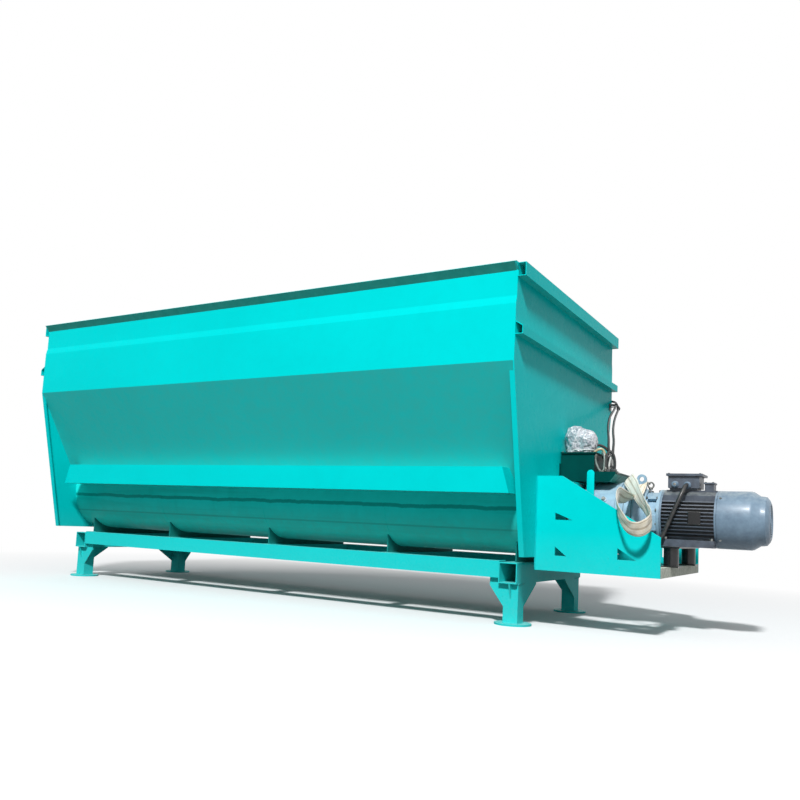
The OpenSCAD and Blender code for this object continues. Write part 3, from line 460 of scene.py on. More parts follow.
# A darker copy of the motor's grey: painted shade on the finned stator and the terminal box
SHADED_STATOR_GREY = casting("stator_shaded_grey_enamel", rgb(88, 98, 112), rgb(60, 66, 76), 0.42)
WELD_PAINT = enamel("weld_enamel", rgb(0, 204, 206), rgb(0, 176, 180), 0.2, 0.3)
ZINC = metal("zinc_plate", rgb(158, 160, 158), rgb(112, 112, 106), 0.38, scale=140.0)
# Black rubber for seals, and also for strips of painted shade between the motor's fins
SEAL_AND_SHADE_BLACK = rubber("seal_and_shade_black", rgb(22, 23, 25), rgb(40, 41, 43), 0.5)
HOSE_TAN = rubber("hose_tan", rgb(206, 192, 158), rgb(160, 138, 96), 0.4)
HOSE_WHITE = rubber("hose_white", rgb(232, 234, 230), rgb(196, 202, 200), 0.35)
HOSE_GREY = rubber("hose_grey", rgb(128, 140, 134), rgb(92, 102, 98), 0.4)


# Modelling by hand

def only(*objects):
    """Select just these objects; the first becomes the active one."""
    if bpy.context.mode != "OBJECT":
        bpy.ops.object.mode_set(mode="OBJECT")
    bpy.ops.object.select_all(action="DESELECT")
    for obj in objects:
        obj.select_set(True)
    if objects:
        bpy.context.view_layer.objects.active = objects[0]


def settle(obj):
    """Put an object's place, turn and scale into its mesh."""
    only(obj)
    bpy.ops.object.transform_apply(location=True, rotation=True, scale=True)
    return obj


def start(shape, scale=(1, 1, 1), **facts):
    """Add a primitive to shape a piece from; the scale counts from the world's middle."""
    only()
    getattr(bpy.ops.mesh, f"primitive_{shape}_add")(**facts)
    obj = bpy.context.object
    obj.scale = scale
    return settle(obj)


def modify(obj, kind, **settings):
    """Apply one modifier."""
    only(obj)
    bpy.ops.object.modifier_add(type=kind)
    modifier = obj.modifiers[-1]
    for key, value in settings.items():
        setattr(modifier, key, value)
    bpy.ops.object.modifier_apply(modifier=modifier.name)
    return obj


def edit(obj, kind, action="DESELECT"):
    """Open an object for editing with all of it selected, or none."""
    only(obj)
    bpy.ops.object.mode_set(mode="EDIT")
    bpy.ops.mesh.select_mode(type=kind)
    bpy.ops.mesh.select_all(action=action)


def pick(obj, test):
    """Open an object for editing with the faces selected whose middle and normal pass."""
    edit(obj, "FACE")
    mesh = bmesh.from_edit_mesh(obj.data)
    mesh.faces.ensure_lookup_table()
    for face in mesh.faces:
        face.select_set(test(face.calc_center_median(), face.normal))
    bmesh.update_edit_mesh(obj.data)


def pull(obj, test, move):
    """Move the points of an object that pass a test."""
    edit(obj, "VERT")
    mesh = bmesh.from_edit_mesh(obj.data)
    for point in mesh.verts:
        point.select_set(test(point.co))
    mesh.select_flush(True)
    bmesh.update_edit_mesh(obj.data)
    bpy.ops.transform.translate(value=move)
    only(obj)
    return obj


def step_in(obj, test, *moves):
    """Inset the chosen faces and push them along their normal, once for each move."""
    pick(obj, test)
    for inset, push in moves:
        if inset:
            bpy.ops.mesh.inset(thickness=inset, depth=0.0)
        if push:
            bpy.ops.mesh.extrude_region_shrink_fatten(
                TRANSFORM_OT_shrink_fatten={"value": push})
    only(obj)
    return obj


def soften(obj, width):
    """A small bevel on the sharp edges only."""
    return modify(obj, "BEVEL", width=width, segments=2, limit_method="ANGLE")


def block(x, y, z, bevel=0.002, segments=2):
    """A plate or bar between two values on each axis."""
    middle = [(low + high) / 2 for low, high in (x, y, z)]
    size = [high - low for low, high in (x, y, z)]
    obj = start("cube", scale=size, size=1, location=middle)
    return modify(obj, "BEVEL", width=bevel, segments=segments) if bevel else obj


def drum(radius, length, sides=32, bevel=0.001, axis="Z", middle=(0, 0, 0)):
    turn = {"X": (0, math.pi / 2, 0), "Y": (math.pi / 2, 0, 0), "Z": (0, 0, 0)}[axis]
    obj = start("cylinder", vertices=sides, radius=radius, depth=length,
                location=middle, rotation=turn)
    return soften(obj, bevel)


def lathe(points, steps, centre=(0, 0, 0), axis="X"):
    """Draw a profile of (place along the axis, radius) by extruding one point, then spin it."""
    line = {"X": Vector((1, 0, 0)), "Y": Vector((0, 1, 0)), "Z": Vector((0, 0, 1))}[axis]
    side = Vector((0, 0, 1)) if axis != "Z" else Vector((1, 0, 0))
    spots = [Vector(centre) + line * place + side * radius for place, radius in points]
    obj = start("plane", size=0.1)
    edit(obj, "VERT", "SELECT")
    bpy.ops.mesh.merge(type="CENTER")
    bpy.ops.transform.translate(value=spots[0])
    for before, after in zip(spots, spots[1:]):
        bpy.ops.mesh.extrude_region_move(TRANSFORM_OT_translate={"value": after - before})
    bpy.ops.mesh.select_all(action="SELECT")
    bpy.ops.mesh.spin(steps=steps, angle=2 * math.pi, center=centre, axis=line)
    bpy.ops.mesh.select_all(action="SELECT")
    bpy.ops.mesh.remove_doubles(threshold=0.00001)
    bpy.ops.mesh.normals_make_consistent(inside=False)
    only(obj)
    return obj


def hoop(place, width, low, high, steps, centre=(0, 0, 0), axis="X"):
    """A ring of rectangular section between two radii."""
    return lathe([(place, low), (place, high), (place + width, high), (place + width, low),
                  (place, low)], steps, centre, axis)


def join(*objects):
    """Join the others into the first."""
    only(*objects)
    if len(objects) > 1:
        bpy.ops.object.join()
    return bpy.context.object


def spread(pattern, places):
    """Copy a pattern to each place and direction of its own Z axis, and join the copies."""
    copies = []
    for place, direction in places:
        only(pattern)
        bpy.ops.object.duplicate()
        twin = bpy.context.object
        twin.location = place
        twin.rotation_euler = Vector(direction).to_track_quat("Z", "Y").to_euler()
        copies.append(settle(twin))
    bpy.data.objects.remove(pattern)
    return join(*copies)


def done(obj, name, material, body="machine", smooth=32):
    """Name, paint and shade a finished piece, and let it ride on its body."""
    obj.name = name
    obj.data.materials.clear()
    obj.data.materials.append(material)
    if smooth and obj.type == "MESH":
        only(obj)
        bpy.ops.object.shade_smooth_by_angle(angle=math.radians(smooth))
    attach(obj, body)
    return obj


def painted(obj, name, slot, body="machine", smooth=32):
    """Finish a piece in the slot's own paint."""
    return done(obj, name, MATERIALS[slot], body, smooth)


def plated(pattern, places, name, body="machine"):
    """Finish the zinc-plated copies of a small part as one piece."""
    return done(spread(pattern, places), name, ZINC, body)


def on_top(middle, normal):
    return normal.z > 0.9


def hex_bolt(across, height, washer, shank=0.0):
    """A hexagon head on its washer at the origin, along +Z, with a stud's end past it."""
    head = start("cylinder", vertices=6, radius=across / math.sqrt(3), depth=height,
                 location=(0, 0, washer + height / 2))
    step_in(head, on_top, (across * 0.06, 0.0), (0.0, height * 0.12))
    disc = start("cylinder", vertices=16, radius=across * 0.62, depth=washer,
                 location=(0, 0, washer / 2))
    pieces = [head, disc]
    if shank:
        pieces.append(start("cylinder", vertices=10, radius=across * 0.28, depth=shank,
                            location=(0, 0, washer + height + shank / 2)))
    return join(*pieces)


def socket_screw(radius, height):
    """A round head with a hexagon socket at the origin, standing along +Z."""
    head = start("cylinder", vertices=12, radius=radius, depth=height,
                 location=(0, 0, height / 2))
    return step_in(head, on_top, (radius * 0.14, 0.0), (0.0, height * 0.1),
                   (radius * 0.3, 0.0), (0.0, -height * 0.5))


def outward(degrees):
    """The direction round the X axis at an angle from straight up."""
    angle = math.radians(degrees)
    return Vector((0, math.sin(angle), math.cos(angle)))


def ring_of(centre, radius, count, first=0.0, direction=None):
    """Places round an axis along X; they face outwards, or all in one direction."""
    ways = [outward(first + 360 * number / count) for number in range(count)]
    return [(centre + way * radius, direction or way) for way in ways]


def curve_line(points, radius, sizes=None, sides=3):
    """A round bar or hose: one open spline with a bevel, whose points may have sizes."""
    only()
    data = bpy.data.curves.new("route", "CURVE")
    data.dimensions = "3D"
    data.bevel_depth = radius
    data.bevel_resolution = sides
    data.use_fill_caps = True
    data.resolution_u = 1
    spline = data.splines.new("POLY")
    spline.points.add(len(points) - 1)
    for number, (spot, point) in enumerate(zip(spline.points, points)):
        spot.co = (*point, 1.0)
        if sizes:
            spot.radius = sizes[number]
    obj = bpy.data.objects.new("route", data)
    bpy.context.scene.collection.objects.link(obj)
    return obj


def as_mesh(obj):
    only(obj)
    bpy.ops.object.convert(target="MESH")
    return bpy.context.object


def between(a, b, c, d, t):
    """The smooth curve through a, b, c and d, for t from 0 to 1 between b and c."""
    return 0.5 * (2 * b + (c - a) * t + (2 * a - 5 * b + 4 * c - d) * t * t
                  + (3 * b - a - 3 * c + d) * t * t * t)


def smooth(points, steps):
    """A smooth line through the points, with so many steps from each to the next."""
    points = [Vector(point) for point in points]
    last = len(points) - 1
    line = []
    for i in range(last):
        around = points[max(i - 1, 0)], points[i], points[i + 1], points[min(i + 2, last)]
        line += [between(*around, k / steps) for k in range(steps)]
    return line + [points[last]]


def length_of(points):
    return sum((b - a).length for a, b in zip(points, points[1:]))


def evenly(points, count):
    """The same line as count equal stretches."""
    line = [Vector(point) for point in points]
    whole = length_of(line)
    spots, passed, number = [], 0.0, 0
    for a, b in zip(line, line[1:]):
        stretch = (b - a).length
        while number <= count and whole * number / count <= passed + stretch + 1e-9:
            spots.append(a.lerp(b, (whole * number / count - passed) / stretch))
            number += 1
        passed += stretch
    return spots


def sprung(points, spacing, passes):
    """Even the bends out as a stiff hose does; its two ends keep their direction."""
    line = evenly(points, round(length_of(points) / spacing))
    for _ in range(passes):
        eased = [b.lerp((a + c) / 2, 0.5) for a, b, c in zip(line[1:], line[2:-2], line[3:])]
        line = line[:2] + eased + line[-2:]
    return line


def nearest(route, spot):
    """Number of the route's point that lies closest to a spot."""
    return min(range(1, len(route) - 1), key=lambda number: (route[number] - spot).length)


def weld(points, radius=0.005, pitch=0.006):
    """A laid bead: a round line whose size swells and falls with each puddle."""
    spots = evenly(points, max(4, int(length_of(points) / pitch * 2)))
    sizes = [1.0 if number % 2 else 0.74 for number in range(len(spots))]
    return as_mesh(curve_line(spots, radius, sizes, sides=1))


# Hoses and cable

HOSE_WIDTH = 0.018
LEAD_WIDTH = 0.026
CYLINDER_PIN = Vector((DOOR_X + BODY_X, 1.0352748, 1.480))
ARM_PIN = Vector((DOOR_X + BODY_X, 0.8, 0.64))
CYLINDER_DOWN = (ARM_PIN - CYLINDER_PIN).normalized()


def metres(points):
    """Points in millimetres, with X from the middle of the body, as real places."""
    return [at(x / 1000, y / 1000, z / 1000) for x, y, z in points]


def down_cylinder(distance):
    return CYLINDER_PIN + CYLINDER_DOWN * distance


def side_route(points):
    return sprung(smooth(metres(points), 4), 0.015, 16)


# The hoses leave the valve block, rise, and turn the far corner of the end plate
UPPER_ROUTE = side_route([
    (2567.5, -20, 1067.3), (2567.5, -20, 1090), (2567.5, -20, 1115), (2559.5, 5, 1180),
    (2530, 130, 1255), (2460, 360, 1365), (2390, 640, 1475), (2345, 860, 1560),
    (2322, 1010, 1630), (2300, 1085, 1672), (2240, 1100, 1680), (2150, 1100, 1676),
    (2050, 1098, 1660), (1950, 1096, 1635), (1850, 1094, 1600), (1765, 1080, 1545),
    (1715, 1052, 1490), (1692, 1026, 1440)])
LOWER_ROUTE = side_route([
    (2567.5, -80, 1067.3), (2567.5, -80, 1090), (2567.5, -80, 1125), (2542.5, -45, 1190),
    (2505, 90, 1270), (2430, 330, 1385), (2362, 610, 1500), (2325, 850, 1590),
    (2303, 1010, 1662), (2280, 1087, 1702), (2225, 1106, 1712), (2140, 1106, 1708),
    (2030, 1104, 1690), (1930, 1106, 1660), (1840, 1108, 1632), (1768, 1106, 1578),
    (1722, 1078, 1505), (1698, 1040, 1435), (1690, 1022, 1400)])
CABLE_ROUTE = sprung(smooth(metres([
    (3068, -85.3, 945), (3068, -118, 945), (3066, -150, 935), (3050, -190, 880), (3020, -207, 800),
    (2980, -214, 700), (2940, -220, 600), (2895, -226, 520), (2868, -230, 465), (2865, -230, 442.3),
    (2865, -230, 422.3)]), 4), 0.012, 8)


def lay_hoses():
    """The two door hoses and the motor's lead, each as one cord."""
    for name, node, route, width, lay in (
            ("upper_door_hose", "door_hoses", UPPER_ROUTE, HOSE_WIDTH, "loose"),
            ("lower_door_hose", "door_hoses", LOWER_ROUTE, HOSE_WIDTH, "loose"),
            ("motor_lead", "motor_cable", CABLE_ROUTE, LEAD_WIDTH, "hanging")):
        hose = painted(curve_line(route, width / 2, sides=4), name, "black_rubber")
        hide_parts(node)
        length_of(route)


def add_hose_ends():
    """Crimped ferrules and swivel nuts on both hoses, and elbows to the cylinder's ports."""
    ferrule = lathe([(0, 0.0097), (0, 0.0132), (0.004, 0.0138), (0.008, 0.0128), (0.012, 0.0138),
                     (0.016, 0.0128), (0.020, 0.0138), (0.026, 0.0138), (0.028, 0.012),
                     (0.028, 0.0097)], 16, axis="Z")
    nut = start("cylinder", vertices=6, radius=0.0155, depth=0.013, location=(0, 0, -0.007))
    nut = step_in(nut, lambda middle, normal: abs(normal.z) > 0.9, (0.0016, 0.0), (0.0, 0.0012))
    pattern = join(ferrule, nut)
    places, elbows = [], []
    for route, down in ((UPPER_ROUTE, HEAD_PORT), (LOWER_ROUTE, PIPE_PORT)):
        places.append((route[0] + Vector((0, 0, 0.016)), (0, 0, 1)))
        end, port = route[-1], down_cylinder(down) + Vector((0.0503, 0, 0))
        run = (end - route[-2]).normalized()
        places.append((end - run * 0.012, -run))
        bend = [end - run * 0.01, end + run * 0.012, port + Vector((0.016, 0, 0)), port]
        elbows.append(as_mesh(curve_line(smooth(bend, 6), 0.0088)))
    plated(pattern, places, "hose_ends")
    done(join(*elbows), "hose_elbows", ZINC)


def add_hose_holders():
    """An arm on the end plate carries both hoses round its corner, and clips hold them."""
    places = []
    for route, spots in (
            (UPPER_ROUTE, [(2322, 1010, 1630), (2150, 1100, 1676), (1950, 1096, 1635)]),
            (LOWER_ROUTE, [(2303, 1010, 1662), (2140, 1106, 1708), (1930, 1106, 1660)])):
        for spot in metres(spots):
            number = nearest(route, spot)
            places.append((route[number], route[number + 1] - route[number - 1]))
    middle = (places[0][0] + places[3][0]) / 2

    def around(value, half):
        return value - half, value + half

    face = at(HALF_LENGTH, 0, 0).x
    arm = block((face, middle.x + 0.012), around(middle.y, 0.012), around(middle.z, 0.003), 0.001)
    flange = block(span(HALF_LENGTH, HALF_LENGTH + 0.006), around(middle.y, 0.022),
                   around(middle.z, 0.028), 0.001)
    painted(join(arm, flange), "hose_arm", "black_paint")
    clip = hoop(-0.011, 0.022, 0.0095, 0.0145, 20, axis="Z")
    done(spread(clip, places), "hose_clamps", SEAL_AND_SHADE_BLACK)


# Sling

# Along the loop, in millimetres from the eye: the middle of the band, the direction of its
# width, half its width and half its thickness
SLING_ROWS = [
    [0, 21, -27, 0, 0, 1, 9, 7],
    [-44, 12, -26, 0, 0, 1, 9.5, 7],
    [-58, -34, -12, 0.3, 0, 0.95, 20, 6],
    [-66, -90, -2, 0.7, 0, 0.7, 42, 4],
    [-5, -220, -55, 0.6, -0.2, 0.75, 47, 3.5],
    [90, -420, -150, 0.3, -0.35, 0.87, 47, 3.5],
    [165, -560, -220, 0.1, -0.4, 0.9, 47, 3.5],
    [212, -655, -270, 0, -0.4, 0.91, 47, 3.5],
    [208, -725, -315, 0, -0.4, 0.91, 47, 3.5],
    [165, -755, -342, 0, -0.4, 0.91, 47, 3.5],
    [105, -745, -330, 0, -0.4, 0.91, 47, 3.5],
    [45, -705, -264, 0, -0.4, 0.91, 47, 3.5],
    [12, -655, -200, 0, -0.4, 0.91, 47, 3.5],
    [-3, -570, -134, 0.1, -0.3, 0.95, 47, 3.5],
    [-8, -420, -145, 0.5, -0.2, 0.84, 47, 3.5],
    [8, -255, -145, 0.95, -0.1, 0.3, 44, 3.5],
    [15, -168, -98, 1, 0, 0, 40, 3.5],
    [22, -85, -46, 1, 0, 0, 30, 4],
    [44, -25, -30, 0.3, 0, 0.95, 12, 6],
    [46, 10, -28, 0, 0, 1, 9, 7],
]
SLING_STEPS = 10
SLING_LANES = 10
EYE_PLACE = at(BELL_X - 0.045, 0, 0.985)


def sling_row(u):
    """The values between two rows of the closed loop."""
    count = len(SLING_ROWS)
    first = math.floor(u)
    rows = [SLING_ROWS[(first + k) % count] for k in (-1, 0, 1, 2)]
    return [between(a, b, c, d, u - first) for a, b, c, d in zip(*rows)]


def sling_section(u):
    """Corner points of one cross-section: out along one face and back along the other."""
    row = sling_row(u)
    ahead, behind = sling_row(u + 0.05), sling_row(u - 0.05)
    run = (Vector(ahead[:3]) - Vector(behind[:3])).normalized()
    width = Vector(row[3:6])
    width = (width - width.dot(run) * run).normalized()
    out = run.cross(width)
    half, thick = row[6], row[7]
    loose = min(1.0, max(0.0, (half - 20) / 20))
    points = []
    for face in (1, -1):
        for lane in range(SLING_LANES + 1):
            s = (2 * lane / SLING_LANES - 1) * face
            curl = 2.4 * math.sin(u * 2.3 + s * 1.4) * s * s
            fold = loose * (curl + 1.1 * math.sin(u * 5.1 + s * 4.0))
            rise = face * thick * (1 - 0.72 * abs(s) ** 8)
            spot = Vector(row[:3]) + width * half * s + out * (rise + fold)
            points.append(EYE_PLACE + spot / 1000)
    return points


def hang_sling():
    """The closed strap, with a map that runs along it and across both its faces."""
    count = len(SLING_ROWS) * SLING_STEPS
    sections = [sling_section(number / SLING_STEPS) for number in range(count)]
    across = [lane / SLING_LANES for lane in range(SLING_LANES + 1)]
    across += [2 - lane for lane in across]
    sides = len(across)
    runs = [0.0]
    for number in range(count):
        middle, ahead = (sections[n % count][SLING_LANES // 2] for n in (number, number + 1))
        runs.append(runs[-1] + (ahead - middle).length)
    faces, marks = [], []
    for i in range(count):
        here, there = i * sides, (i + 1) % count * sides
        for k in range(sides):
            m = (k + 1) % sides
            faces.append((here + k, here + m, there + m, there + k))
            turn = k % (SLING_LANES + 1) == SLING_LANES
            low, high = across[k], across[k] if turn else across[k + 1]
            marks += [(runs[i], low), (runs[i], high), (runs[i + 1], high), (runs[i + 1], low)]
    mesh = bpy.data.meshes.new("sling")
    mesh.from_pydata([point for section in sections for point in section], [], faces)
    layer = mesh.uv_layers.new(name="along_and_across")
    for loop, mark in zip(layer.data, marks):
        loop.uv = mark
    sling = bpy.data.objects.new("sling", mesh)
    bpy.context.scene.collection.objects.link(sling)
    edit(sling, "FACE", "SELECT")
    bpy.ops.mesh.normals_make_consistent(inside=False)
    only(sling)
    modify(sling, "SUBSURF", levels=1, render_levels=1)
    painted(sling, "lifting_sling_webbing", "sling_webbing", smooth=70)
    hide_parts("lifting_sling")


# Wrapped pump motor

def wrap_pump():
    """Two balls on cones under film, remeshed into one skin and creased, and a tie."""
    lobes = []
    for x, radius, rise in ((2.338, 0.080, 0.114), (2.410, 0.071, 0.092)):
        ball = start("uv_sphere", segments=32, ring_count=20, radius=radius,
                     location=at(x, -0.1, TANK_TOP + rise))
        foot = start("cone", vertices=32, radius1=radius * 0.82, radius2=radius * 0.99,
                     depth=rise, location=at(x, -0.1, TANK_TOP + rise / 2))
        lobes += [ball, foot]
    wrap = join(*lobes)
    modify(wrap, "REMESH", mode="VOXEL", voxel_size=0.006)
    modify(wrap, "SMOOTH", factor=0.6, iterations=6)
    modify(wrap, "SUBSURF", levels=1, render_levels=1)
    for name, kind, size, strength in (("broad_folds", "CLOUDS", 0.07, 0.020),
                                       ("sharp_creases", "VORONOI", 0.045, 0.014),
                                       ("small_creases", "VORONOI", 0.018, 0.006)):
        texture = bpy.data.textures.new(name, kind)
        texture.noise_scale = size
        modify(wrap, "DISPLACE", texture=texture, strength=strength, mid_level=0.5,
               texture_coords="LOCAL")
    painted(wrap, "pump_wrap", "plastic_film", smooth=50)
    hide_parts("pump_motor")
    tie = start("torus", (1.62, 1.14, 1.0), major_radius=0.064, minor_radius=0.0028,
                major_segments=40, minor_segments=8, location=at(2.372, -0.1, TANK_TOP + 0.02))
    done(tie, "wrap_tie", HOSE_WHITE)


# Motor, bell housing and gear head

COWL_PROFILE = [(0, 0.1838), (0.004, 0.184), (0.185, 0.184), (0.200, 0.180), (0.238, 0.155),
                (0.252, 0.154), (0.272, 0.1505), (0.288, 0.130), (0.2945, 0.114), (0.2945, 0.106)]
COWL_WALL = 0.003


def add_cowl():
    """The fan cover: a spun shell with a ringed grille in its end and the fan behind it."""
    inner = [(place - (COWL_WALL if place > 0.27 else 0), radius - COWL_WALL)
             for place, radius in reversed(COWL_PROFILE)]
    shell = lathe(COWL_PROFILE + inner + COWL_PROFILE[:1], 64, at(COWL_X, 0, AXIS_Z))
    painted(shell, "fan_cover", "motor_grey_paint")
    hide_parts("fan_cowl")
    face = at(DRIVE_END, 0, AXIS_Z)

    def behind(depth, ways=()):
        """A place behind the grille's face, or copies there that face several ways."""
        place = face - Vector((depth, 0, 0))
        return [(place, way) for way in ways] or place

    rays = [outward(45 * number) for number in range(8)]
    rings = [start("torus", major_radius=radius, minor_radius=0.0022, major_segments=44,
                   minor_segments=6, location=behind(0.0035), rotation=(0, math.pi / 2, 0))
             for radius in (0.018, 0.032, 0.046, 0.060, 0.074, 0.088, 0.102)]
    spoke = start("cylinder", vertices=8, radius=0.002, depth=0.094, location=(0, 0, 0.059))
    hub = drum(0.014, 0.004, 24, 0.0008, "X", behind(0.004))
    grille = join(*rings, hub, spread(spoke, behind(0.0045, rays)))
    painted(grille, "cover_grille", "motor_grey_paint")
    blade = block((-0.004, 0.004), (-0.022, 0.022), (0.03, 0.135), 0.0015)
    pick(blade, lambda middle, normal: normal.z > 0.9)
    bpy.ops.transform.translate(value=(0.012, 0.006, 0))
    wheel = lathe([(-0.13, 0), (-0.13, 0.05), (-0.06, 0.05), (-0.055, 0.03), (-0.05, 0)], 24, face)
    back = lathe([(-0.289, 0), (-0.289, 0.178), (-0.285, 0.178), (-0.285, 0)], 40, face)
    fan = join(spread(blade, behind(0.09, rays)), wheel, back)
    painted(fan, "cooling_fan", "black_paint")
    places = ring_of(at(COWL_X + 0.018, 0, AXIS_Z), 0.184, 4, 45)
    plated(socket_screw(0.007, 0.004), places, "cover_screws")


def add_stator_trim():
    """End rings of the stator, black strips of painted shade in the gaps between its fins, and its
    bare plate.
    """
    rings = [hoop(place, 0.012, 0.176, 0.1834, 64, at(0, 0, AXIS_Z))
             for place in (MOTOR_X + 0.001, COWL_X - 0.014)]
    painted(join(*rings), "stator_rings", "motor_grey_paint")
    fin_pitch, core_radius = 0.0225, 0.156
    # Black strips laid on the core in the gaps between the fins are painted shade
    valley_shade = []
    for side in (-1, 1):
        for row in range(-6, 6):
            z = AXIS_Z - 0.008 + fin_pitch * (row + 0.5)
            rise = abs(z - AXIS_Z)
            if rise > 0.134:
                continue
            reach = math.sqrt(core_radius ** 2 - rise ** 2) + 0.0012
            valley_shade.append(block(span(MOTOR_X + 0.013, COWL_X - 0.014),
                                 sorted((side * (reach - 0.004), side * reach)),
                                 (z - 0.0072, z + 0.0072), 0.0))
    done(join(*valley_shade), "fin_valley_shade", SEAL_AND_SHADE_BLACK, smooth=0)
    plate = block(span(3.087, 3.165), (-0.1835, -0.1805), (0.690, 0.773), 0.0012)
    plate = step_in(plate, lambda middle, normal: normal.y < -0.9, (0.004, 0.0), (0.0, -0.0008))
    painted(plate, "motor_plate", "black_paint")
    rivets = [(at(x, -0.1832, z), (0, -1, 0)) for x in (3.091, 3.161) for z in (0.694, 0.769)]
    plated(socket_screw(0.0022, 0.0012), rivets, "plate_rivets")


def add_terminal_trim():
    """Screws and gaskets of the two lids, and the glands and grommet of the cable."""
    screws = []
    for lid, xs, ys in ((0.105, (2.952, 3.145), (-0.087, 0.087)),
                        (0.052, (3.171, 3.216), (-0.04, 0.04))):
        z = AXIS_Z + MOTOR_RADIUS + lid
        screws += [(at(x, y, z), (0, 0, 1)) for x in xs for y in ys]
    plated(socket_screw(0.006, 0.004), screws, "lid_screws")
    lips = [block(span(2.944, 3.143), (-0.088, 0.088), (1.0005, 1.0035), 0.001),
            block(span(3.164, 3.223), (-0.048, 0.048), (0.9535, 0.9555), 0.0008)]
    done(join(*lips), "lid_gaskets", SEAL_AND_SHADE_BLACK)
    gland = [(0, 0.009), (0, 0.0225), (-0.010, 0.0225), (-0.011, 0.019), (-0.022, 0.0185),
             (-0.026, 0.0145), (-0.026, 0.009)]
    glands = [lathe(gland, 12, at(x, -0.0852, z), "Y") for x, z in ((3.068, 0.945), (2.992, 0.948))]
    plug = drum(0.0095, 0.006, 20, 0.0012, "Y", at(2.992, -0.1085, 0.948))
    painted(join(*glands), "cable_glands", "motor_grey_paint")
    done(plug, "gland_plug", ZINC)
    grommet = lathe([(0, 0.0135), (0, 0.024), (0.006, 0.024), (0.008, 0.018), (0.022, 0.017),
                     (0.026, 0.0135)], 20, at(2.865, -0.230, MOUNT_Z + 0.060), "Z")
    done(grommet, "cable_grommet", SEAL_AND_SHADE_BLACK)


def add_bell_and_head_trim():
    """Flange bolts, seams, oil plugs on their bosses, the second eyebolt and a lug."""
    places = ring_of(at(BELL_X + 0.014, 0, AXIS_Z), 0.1762, 12, 15, (1, 0, 0))
    places += ring_of(at(MOTOR_X - 0.016, 0, AXIS_Z), 0.1762, 12, 15, (-1, 0, 0))
    plated(hex_bolt(0.0145, 0.007, 0.0015), places, "bell_bolts")
    seams = [hoop(place, 0.003, 0.2155, radius, 64, at(0, 0, AXIS_Z)) for place, radius in
             ((2.476, 0.2225), (2.6365, 0.2226), (2.690, 0.2186), (2.741, 0.2186))]
    done(join(*seams), "gear_head_seams", SEAL_AND_SHADE_BLACK)
    bosses, plugs = [], []
    for x, radius, angle in ((2.45, 0.2215, -62), (2.56, 0.2215, -62), (2.60, 0.2215, -118),
                             (2.71, 0.2185, -100), (2.45, 0.2215, 62), (2.71, 0.2185, 75)):
        out = outward(angle)
        spot = at(x, 0, AXIS_Z) + out * radius
        bosses.append((spot, out))
        plugs.append((spot + out * 0.005, out))
    painted(spread(drum(0.021, 0.012, 24, 0.0015), bosses), "plug_bosses", "gear_grey_paint")
    plated(hex_bolt(0.022, 0.009, 0.0022), plugs, "oil_plugs")
    ring = start("torus", major_radius=0.019, minor_radius=0.0055, major_segments=32,
                 minor_segments=10, location=at(2.822, -0.012, 0.944),
                 rotation=(math.pi / 2, 0, 0.5))
    collar = drum(0.0135, 0.012, 24, 0.002, "Z", at(2.822, -0.012, 0.9205))
    done(join(ring, collar), "bell_eyebolt", ZINC)
    lug = block(span(2.857, 2.893), (-0.176, -0.150), (0.640, 0.745), 0.006, 3)
    painted(lug, "bell_lug", "gear_grey_paint")


def add_foot_bolts():
    """Bolts of the pillars on their bar and of the motor's feet on the pillars."""
    base = [(at(2.93, y + offset, MOUNT_Z + 0.068), (0, 0, 1))
            for y in (-0.28, 0.28) for offset in (-0.042, 0.042)]
    plated(hex_bolt(0.022, 0.011, 0.003), base, "pillar_bolts")
    feet = [(at(x, y, AXIS_Z - MOTOR_RADIUS + 0.0447), (0, 0, 1))
            for x in (2.95, 3.225) for y in (-0.1568, 0.1568)]
    plated(hex_bolt(0.020, 0.010, 0.003), feet, "foot_bolts")


# Hydraulic unit

# Name, half width, rubber and route of each short hose at the valve block
SHORT_HOSES = (
    ("tan_hose", 0.0085, HOSE_TAN,
     [(2463, -168, 1092), (2463, -168, 1112), (2478, -166, 1146), (2508, -160, 1172),
      (2532, -154, 1171), (2544, -148, 1150), (2546, -144, 1110), (2546, -140, 1050)]),
    ("grey_hose", 0.0065, HOSE_GREY,
     [(2494, -176, 1120), (2496, -178, 1090), (2508, -182, 1058), (2524, -184, 1030),
      (2540, -184, 1020), (2550, -182, 1032), (2553, -178, 1070), (2552, -172, 1110),
      (2546, -164, 1142), (2530, -152, 1150)]),
    ("black_hose", 0.0095, MATERIALS["black_rubber"],
     [(2556, -160, 1040), (2558, -160, 1085), (2564, -158, 1130), (2582, -152, 1158),
      (2602, -146, 1140), (2612, -140, 1100), (2612, -136, 1052), (2606, -132, 1020)]),
    ("white_hose", 0.0065, HOSE_WHITE,
     [(2572, -128, 1040), (2574, -128, 1080), (2584, -126, 1120), (2598, -124, 1126),
      (2606, -120, 1096), (2604, -116, 1060), (2596, -112, 1030)]),
    ("pump_hose", 0.009, MATERIALS["black_rubber"],
     [(2438, -60, 1155), (2440, -52, 1190), (2470, -30, 1215), (2520, -8, 1190),
      (2548, 0, 1130), (2550, 4, 1048)]),
)
# Place and direction of each fitting of those hoses
FITTINGS = (
    ((2463, -168, 1086), (0, 0, 1)), ((2494, -176, 1124), (0.1, 0, 1)),
    ((2556, -160, 1041), (0, 0, 1)), ((2572, -128, 1043), (0, 0, 1)),
    ((2546, -140, 1048), (0, 0, 1)), ((2606, -132, 1024), (0.2, 0, 1)),
    ((2596, -112, 1034), (0.2, 0, 1)), ((2541, -184, 1019), (1, 0, 0.1)),
)


